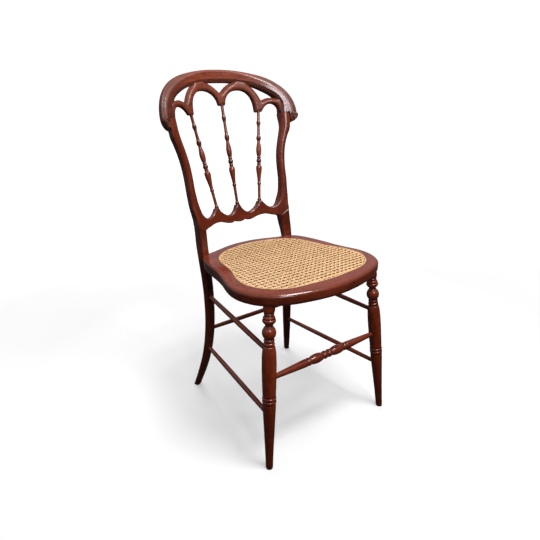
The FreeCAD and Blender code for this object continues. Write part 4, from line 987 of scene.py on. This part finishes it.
def rim_section(o, c):
    """Points of the seat frame's section, from the opening's lower edge round the outside and back."""
    w = np.linalg.norm(o - c)
    e = (o - c) / w
    ax, y = abs(o[0]), o[1]
    crisp = smooth(-70, 20, y) * smooth(150, 120, y)              # sharper arris along the waist to the ears
    rt = 11.0 * (1 - crisp) + 3.2 * crisp                         # rounding of the upper outer arris, across
    ft = 8.5 * (1 - crisp) + 3.0 * crisp                          # and down
    rb, fb = 9.0, 9.0
    drop = 1.6 * (1 - 0.6 * crisp)                                # fall of the top towards the outside
    pts = [(-14.0, -30.0), (-14.0, -16.0), (-14.0, -2.6), (-13.2, -1.9), (-8.0, -1.9), (-1.6, -1.9), (-0.9, -1.5), (-0.7, -0.4), (-0.2, -0.05), (0.6, 0.0)]
    for t in (0.15, 0.3, 0.45, 0.6, 0.75, 0.9):
        q = t * (w - rt)
        pts.append((max(q, 1.2), -drop * t * t))
    top = -drop
    for i in range(0, 10):
        a = math.radians(90 - 90 * i / 9.0)
        pts.append((w - rt + rt * math.cos(a), top - ft + ft * math.sin(a)))
    for t in (0.3, 0.6):
        pts.append((w, (top - ft) * (1 - t) + (-30.5 + fb) * t))
    for i in range(0, 8):
        a = math.radians(-90 * i / 7.0)
        pts.append((w - rb + rb * math.cos(a), -30.5 + fb + fb * math.sin(a)))
    for t in (0.35, 0.7):
        pts.append(((w - rb) * (1 - t) - 12.0 * t, -30.5))
    pts.append((-13.4, -30.5))
    pts = np.array(pts)
    xy = c + pts[:, :1] * e
    return np.column_stack([xy, pts[:, 1]])


def rim_at(param):
    """Section at a fractional place round the rim."""
    i = int(math.floor(param)) % NR
    t = param - math.floor(param)
    j = (i + 1) % NR
    return rim_section(RIM_O[i] * (1 - t) + RIM_O[j] * t, RIM_C[i] * (1 - t) + RIM_C[j] * t)


def cut_param(section_row_y, lo, hi, y_line):
    """Place round the rim where the outer edge crosses a joint."""
    for _ in range(50):
        mid_ = (lo + hi) / 2
        i = int(math.floor(mid_)) % NR
        t = mid_ - math.floor(mid_)
        y = RIM_O[i][1] * (1 - t) + RIM_O[(i + 1) % NR][1] * t
        if (y < y_line) == (section_row_y < y_line):
            lo = mid_
        else:
            hi = mid_
    return (lo + hi) / 2


HALF = sum(COUNTS)
pf = cut_param(-245.0, 1.0, HALF - 1.0, -140.0)
pr = cut_param(-245.0, 1.0, HALF - 1.0, 88.0)
ZONES = {"seat_front_rail": (-pf, pf), "seat_side_rail_left": (pf, pr), "seat_back_rail": (pr, NR - pr), "seat_side_rail_right": (NR - pr, NR - pf)}
for name, (a, b) in ZONES.items():
    par = [a] + [float(k) for k in range(int(math.ceil(a + 1e-6)), int(math.floor(b - 1e-6)) + 1)] + [b]
    rows = np.array([rim_at(q) for q in par])
    # the ends lie in the joint's plane
    for k in (0, -1):
        yj = -140.0 if abs(rows[k][:, 1].mean() + 140) < 60 else 88.0
        rows[k][:, 1] = yj
    cols = rows.shape[1]
    flat = rows.reshape(-1, 3)
    s = np.repeat(np.concatenate([[0], np.cumsum(np.linalg.norm(np.diff(rows[:, 20, :2], axis=0), axis=1))]), cols)
    q = np.tile(np.arange(cols), len(par))
    w = np.linalg.norm(rows[:, :, :2] - rows[:, :1, :2], axis=2).ravel()
    gr = np.stack([s if "side" in name or "front" in name else s, w, flat[:, 2]], 1)
    faces = grid_faces(len(par), cols)
    n = len(flat)
    ends = np.array([rows[0].mean(0), rows[-1].mean(0)])
    flat = np.vstack([flat, ends])
    gr = np.vstack([gr, [[0, 0, 0], [s[-1], 0, 0]]])
    last = (len(par) - 1) * cols
    for j in range(cols):
        k = (j + 1) % cols
        faces.append((n, k, j))
        faces.append((n + 1, last + j, last + k))
    world = seat_map(flat[:, 0], flat[:, 1], flat[:, 2])
    piece("frame_" + name, world, [f[::-1] for f in faces], gr, SEAT_WOOD, [name])

# --------------------------------------------------------------------- cane

PITCH = 13.3
ROW_0 = -150.0 + PITCH / 2                      # a row of cross strands, front to back
EDGE = resample(CANE, step=1.0, closed=True)
tg = np.roll(EDGE, -1, 0) - np.roll(EDGE, 1, 0)
tg /= np.linalg.norm(tg, axis=1)[:, None]
nrm = np.stack([-tg[:, 1], tg[:, 0]], 1)
if not inside(EDGE[:1] + nrm[:1] * 3, EDGE)[0]:
    nrm = -nrm
WEAVE_EDGE = EDGE + nrm * 1.6
WE = np.vstack([WEAVE_EDGE, WEAVE_EDGE[:1]])


def span(p, d):
    """Where the line p + t d runs inside the woven area."""
    a, b = WE[:-1], WE[1:]
    n = np.array([-d[1], d[0]])
    ha, hb = (a - p) @ n, (b - p) @ n
    hit = np.where((ha > 0) != (hb > 0))[0]
    ts = []
    for i in hit:
        k = ha[i] / (ha[i] - hb[i])
        ts.append(((a[i] + (b[i] - a[i]) * k) - p) @ d)
    ts.sort()
    return list(zip(ts[::2], ts[1::2]))


def strand_set(name, lines, width, thick, nodes, shade=1.0):
    """Flat-backed, crowned strips. lines are (start, unit direction, t0, t1, height function)."""
    sec = np.array([(-0.5, 0.10), (-0.38, 0.38), (-0.14, 0.5), (0.14, 0.5), (0.38, 0.38), (0.5, 0.10), (0.47, -0.55), (0.28, -0.75), (-0.28, -0.75), (-0.47, -0.55)])
    # painted shade: the sides and undersides of each strand darker than its pale top
    skin_and_shade = np.array([0.42, 0.88, 1.0, 1.0, 0.88, 0.42, 0.12, 0.5, 0.5, 0.12]) * shade
    k = len(sec)
    V, F, G, S = [], [], [], []
    total = 0
    for idx, (p, d, t0, t1, height) in enumerate(lines):
        n = max(3, int((t1 - t0) / (PITCH / 6.0)) + 1)
        t = np.linspace(t0, t1, n)
        c = p + t[:, None] * d
        z = height(c)
        side = np.array([-d[1], d[0]])
        wob = 1.0 + 0.06 * math.sin(idx * 2.399) + 0.03 * np.sin(t * 0.11 + idx)
        xy = c[:, None, :] + (sec[None, :, 0] * width * wob[:, None])[..., None] * side
        zz = z[:, None] + sec[None, :, 1] * thick
        V.append(np.concatenate([xy, zz[..., None]], 2).reshape(-1, 3))
        G.append(np.stack([np.repeat(t + idx * 61.0, k), np.tile(sec[:, 0] * width, n) + idx * 7.0, np.tile(sec[:, 1], n)], 1))
        S.append(np.tile(skin_and_shade, n))
        F += [tuple(total + q for q in f) for f in grid_faces(n, k)]
        F.append(tuple(total + q for q in range(k - 1, -1, -1)))
        F.append(tuple(total + (n - 1) * k + q for q in range(k)))
        total += n * k
    flat = np.vstack(V)
    return piece(name, seat_map(flat[:, 0], flat[:, 1], flat[:, 2]), F, np.vstack(G), CANE_SKIN, nodes, skin_and_shade=np.concatenate(S), sharp=70.0)


def sink(c, deep):
    """How far a layer lies lower, away from the edge of the weave."""
    return deep * smooth(3.0, 16.0, dist(c, WE))


MID = -0.5
W2 = 1.52
up_down = []
for i in range(-14, 15):
    for e in (-1, 1):
        x = i * PITCH + e * W2 + 0.18 * math.sin(i * 1.7 + e)
        for t0, t1 in span(np.array([x, 0.0]), np.array([0.0, 1.0])):
            up_down.append((np.array([x, 0.0]), np.array([0.0, 1.0]), t0, t1,
                            lambda c, e=e: MID - 0.58 * (0.5 + 0.5 * np.cos(2 * math.pi * (c[:, 1] - ROW_0) / PITCH)) + 0.04 * e - sink(c, 2.1)))
across = []
for j in range(-8, 25):
    for e in (-1, 1):
        y = ROW_0 + j * PITCH + e * W2 + 0.18 * math.sin(j * 2.1 + e)
        for t0, t1 in span(np.array([0.0, y]), np.array([1.0, 0.0])):
            across.append((np.array([0.0, y]), np.array([1.0, 0.0]), t0, t1,
                           lambda c, e=e: MID + 0.58 * (0.5 + 0.5 * np.cos(2 * math.pi * c[:, 0] / PITCH)) + 0.04 * e - sink(c, 1.0)))
R2 = math.sqrt(0.5)
rising, falling = [], []
for k in range(-40, 41):
    q = (k + 0.5) * PITCH
    p = np.array([q, ROW_0])
    d = np.array([R2, R2])
    for t0, t1 in span(p, d):
        rising.append((p, d, t0, t1, lambda c: MID - 1.15 * np.cos(2 * math.pi * c[:, 0] / PITCH)))
    d = np.array([-R2, R2])
    for t0, t1 in span(p, d):
        falling.append((p, d, t0, t1, lambda c: MID + 1.15 * np.cos(2 * math.pi * c[:, 0] / PITCH)))
# painted shade: the two lower layers darker than the diagonals on top
strand_set("cane_front_to_back", up_down, 3.0, 1.25, ["cane_panel"], shade=0.86)
strand_set("cane_side_to_side", across, 3.0, 1.25, ["cane_panel"], shade=0.94)
strand_set("cane_rising", rising, 2.95, 1.2, ["cane_panel"])
strand_set("cane_falling", falling, 2.95, 1.2, ["cane_panel"])

# edging strip with its stitches
ring = resample(CANE, step=1.3, closed=True)
tg = np.roll(ring, -1, 0) - np.roll(ring, 1, 0)
tg /= np.linalg.norm(tg, axis=1)[:, None]
nr = np.stack([-tg[:, 1], tg[:, 0]], 1)
if not inside(ring[:1] + nr[:1] * 3, ring)[0]:
    nr = -nr
sec = np.array([(-0.3, -0.3), (-0.1, 0.5), (0.8, 1.05), (1.9, 1.2), (3.0, 1.05), (3.9, 0.5), (4.1, -0.5), (1.9, -1.2)])
# painted shade: the edging strip darker along its sides and underside
skn = np.array([0.25, 0.75, 1.0, 1.0, 1.0, 0.7, 0.2, 0.0])
xy = ring[:, None, :] + sec[None, :, :1] * nr[:, None, :]
zz = np.repeat(sec[None, :, 1:], len(ring), 0)
V = np.concatenate([xy, zz], 2)
rows, cols = len(ring), len(sec)
F = []
for i in range(rows):
    k = (i + 1) % rows
    for j in range(cols):
        l = (j + 1) % cols
        F.append((i * cols + j, i * cols + l, k * cols + l, k * cols + j))
V = V.reshape(-1, 3)
G = np.stack([np.repeat(np.arange(rows) * 1.3, cols), np.tile(sec[:, 0], rows), np.tile(sec[:, 1], rows)], 1)
S = np.tile(skn, rows)
VV, FF, GG, SS_ = [V], F, [G], [S]
total = len(V)
loop = np.array([(-0.6, -0.3), (-0.4, 0.7), (0.6, 1.4), (1.9, 1.6), (3.2, 1.4), (4.2, 0.7), (4.4, -0.4)])
across = [(-1.15, -0.12), (-0.5, 0.06), (0.5, 0.06), (1.15, -0.12), (0.6, -0.75), (-0.6, -0.75)]      # section of a stitch
wide = len(across)
n_st = 88
for m in range(n_st):
    i = int(round(m * rows / n_st)) % rows
    c, n, t = ring[i], nr[i], tg[i]
    V = []
    for (q, z) in loop:
        for e, dz in across:
            p = c + n * q + t * e
            V.append((p[0], p[1], z + dz))
    VV.append(np.array(V))
    for a in range(len(loop) - 1):
        for b in range(wide):
            k = (b + 1) % wide
            FF.append((total + a * wide + b, total + a * wide + k, total + (a + 1) * wide + k, total + (a + 1) * wide + b))
    FF.append(tuple(total + b for b in reversed(range(wide))))
    FF.append(tuple(total + (len(loop) - 1) * wide + b for b in range(wide)))
    GG.append(np.stack([np.repeat(np.arange(len(loop)) * 1.4 + m * 17.0, wide), np.tile([e for e, _ in across], len(loop)), np.zeros(len(loop) * wide)], 1))
    # painted shade: the stitches darker underneath
    SS_.append(np.tile([0.5, 1.0, 1.0, 0.5, 0.1, 0.1], len(loop)))
    total += len(V)
V = np.vstack(VV)
piece("cane_edging_strip", seat_map(V[:, 0], V[:, 1], V[:, 2]), FF, np.vstack(GG), CANE_EDGE, ["cane_binder"], skin_and_shade=np.concatenate(SS_), sharp=60.0)

# ------------------------------------------------- dowels inside the joints

for n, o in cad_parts.items():
    if n.endswith("dowels"):
        o.data.materials.clear()
        o.data.materials.append(DOWEL_WOOD)

# --------------------------------------------------- floor, light and camera

AZ, EL = -0.63592, 0.39029
toward = np.array([math.sin(AZ) * math.cos(EL), -math.cos(AZ) * math.cos(EL), math.sin(EL)])    # from the chair to the camera
right_ = np.array([math.cos(AZ), math.sin(AZ), 0.0])
away = np.array([-math.sin(AZ), math.cos(AZ), 0.0])

m, nt, bsdf = new_material("pale_floor")
tc = nt.nodes.new("ShaderNodeTexCoord")
fl = noise(nt, tc.outputs["Object"], 1.2, 2.0, 0.5)
link(nt, ramp(nt, fl, [(0.3, (0.44, 0.44, 0.44)), (0.7, (0.46, 0.46, 0.46))]), bsdf.inputs["Base Color"])
bsdf.inputs["Roughness"].default_value = 0.9
bsdf.inputs["Specular IOR Level"].default_value = 0.1
bsdf.inputs["Emission Color"].default_value = (1.0, 1.0, 1.0, 1.0)
link(nt, attribute(nt, "glow").outputs["Fac"], bsdf.inputs["Emission Strength"])
prof = [(r, 0.0) for r in (0.4, 0.8, 1.2, 1.6, 2.0, 2.4, 2.8, 3.2)] + [(3.2 + 2.0 * math.sin(a), 2.0 - 2.0 * math.cos(a)) for a in np.linspace(0.1, math.pi / 2, 14)] + [(5.2, 3.2), (5.2, 4.6)]
around = 96
V, F, glow = [(0.0, 0.0, 0.0)], [], [0.30]
for (r, z) in prof:
    for k in range(around):
        a = 2 * math.pi * k / around
        V.append((r * math.cos(a), r * math.sin(a), z))
        glow.append(0.30 + 0.60 * float(smooth(0.9, 2.9, r)))
F = [(0, 1 + k, 1 + (k + 1) % around) for k in range(around)]
for i in range(len(prof) - 1):
    for k in range(around):
        l = (k + 1) % around
        F.append((1 + i * around + k, 1 + (i + 1) * around + k, 1 + (i + 1) * around + l, 1 + i * around + l))
me = bpy.data.meshes.new("studio_floor")
me.from_pydata(V, [], F)
at = me.attributes.new("glow", "FLOAT", "POINT")
at.data.foreach_set("value", np.array(glow, np.float32))
me.polygons.foreach_set("use_smooth", [True] * len(me.polygons))
me.materials.append(m)
floor = bpy.data.objects.new("studio_floor", me)
bpy.context.scene.collection.objects.link(floor)
floor.visible_diffuse = False          # a dim room around the chair: the floor is bright to the eye, but throws little light back
floor.visible_glossy = False

world = bpy.data.worlds.new("studio")
bpy.context.scene.world = world
world.use_nodes = True
bg = world.node_tree.nodes["Background"]
wt = world.node_tree
wc = wt.nodes.new("ShaderNodeTexCoord")
wz = wt.nodes.new("ShaderNodeSeparateXYZ")
link(wt, wc.outputs["Generated"], wz.inputs[0])
wr = wt.nodes.new("ShaderNodeMapRange")
wr.inputs["From Min"].default_value = -1.0
wr.inputs["From Max"].default_value = 1.0
link(wt, wz.outputs["Z"], wr.inputs["Value"])
wy = wt.nodes.new("ShaderNodeMapRange")
wy.inputs["From Min"].default_value = -0.15
wy.inputs["From Max"].default_value = 0.55
link(wt, wz.outputs["Y"], wy.inputs["Value"])
room_front = ramp(wt, wr.outputs["Result"], [(0.30, (0.030, 0.027, 0.025)), (0.54, (0.035, 0.034, 0.036)), (0.70, (0.20, 0.20, 0.21)), (0.90, (0.55, 0.55, 0.57))])
room_back = ramp(wt, wr.outputs["Result"], [(0.30, (0.06, 0.055, 0.055)), (0.52, (0.28, 0.27, 0.30)), (0.70, (0.46, 0.45, 0.49)), (0.90, (0.55, 0.55, 0.57))])
link(wt, mix(wt, "MIX", wy.outputs["Result"], room_front, room_back), bg.inputs["Color"])
bg.inputs["Strength"].default_value = 1.0
bpy.context.scene.view_settings.view_transform = "Standard"


def lamp(name, az, el, far, aim, size, size_y, power, colour=(1, 1, 1)):
    """A soft box, seen from the chair at an azimuth (0 in front, positive to its left) and elevation."""
    li = bpy.data.lights.new(name, "AREA")
    li.shape = "RECTANGLE"
    li.size, li.size_y = size, size_y
    li.energy = power
    li.color = colour
    o = bpy.data.objects.new(name, li)
    bpy.context.scene.collection.objects.link(o)
    a, e = math.radians(az), math.radians(el)
    o.location = Vector(aim) + far * Vector((math.sin(a) * math.cos(e), -math.cos(a) * math.cos(e), math.sin(e)))
    o.rotation_euler = (Vector(aim) - o.location).to_track_quat("-Z", "Y").to_euler()
    return o


lamp("key_softbox", 18.0, 60.0, 1.25, (0, 0, 0.75), 0.52, 0.47, 31.0, (1.0, 0.985, 0.96))
lamp("front_softbox", -18.0, 26.0, 2.2, (0.12, 0, 0.80), 0.60, 0.42, 18.0, (0.93, 0.95, 1.0))
for fill in (lamp("top_softbox", 150.0, 80.0, 2.3, (0, 0.2, 0.45), 2.2, 2.2, 30.0), lamp("rear_softbox", 165.0, 28.0, 2.3, (0, 0, 0.5), 1.4, 1.2, 26.0)):
    fill.visible_glossy = False

cam = bpy.data.cameras.new("camera")
cam.sensor_width = 36.0
cam.lens = 462.786 / 540.0 * 36.0
cam.shift_x = (270.0 - 267.366) / 540.0
cam.shift_y = (270.371 - 270.0) / 540.0
cam.clip_start, cam.clip_end = 0.05, 50.0
co = bpy.data.objects.new("camera", cam)
bpy.context.scene.collection.objects.link(co)
z_axis = Vector(toward)
x_axis = Vector(right_)
y_axis = z_axis.cross(x_axis)
rot = Matrix((x_axis, y_axis, z_axis)).transposed().to_4x4()
co.matrix_world = Matrix.Translation(Vector((-0.70641, -0.91100 + YS * MM, 0.86457))) @ rot
bpy.context.scene.camera = co
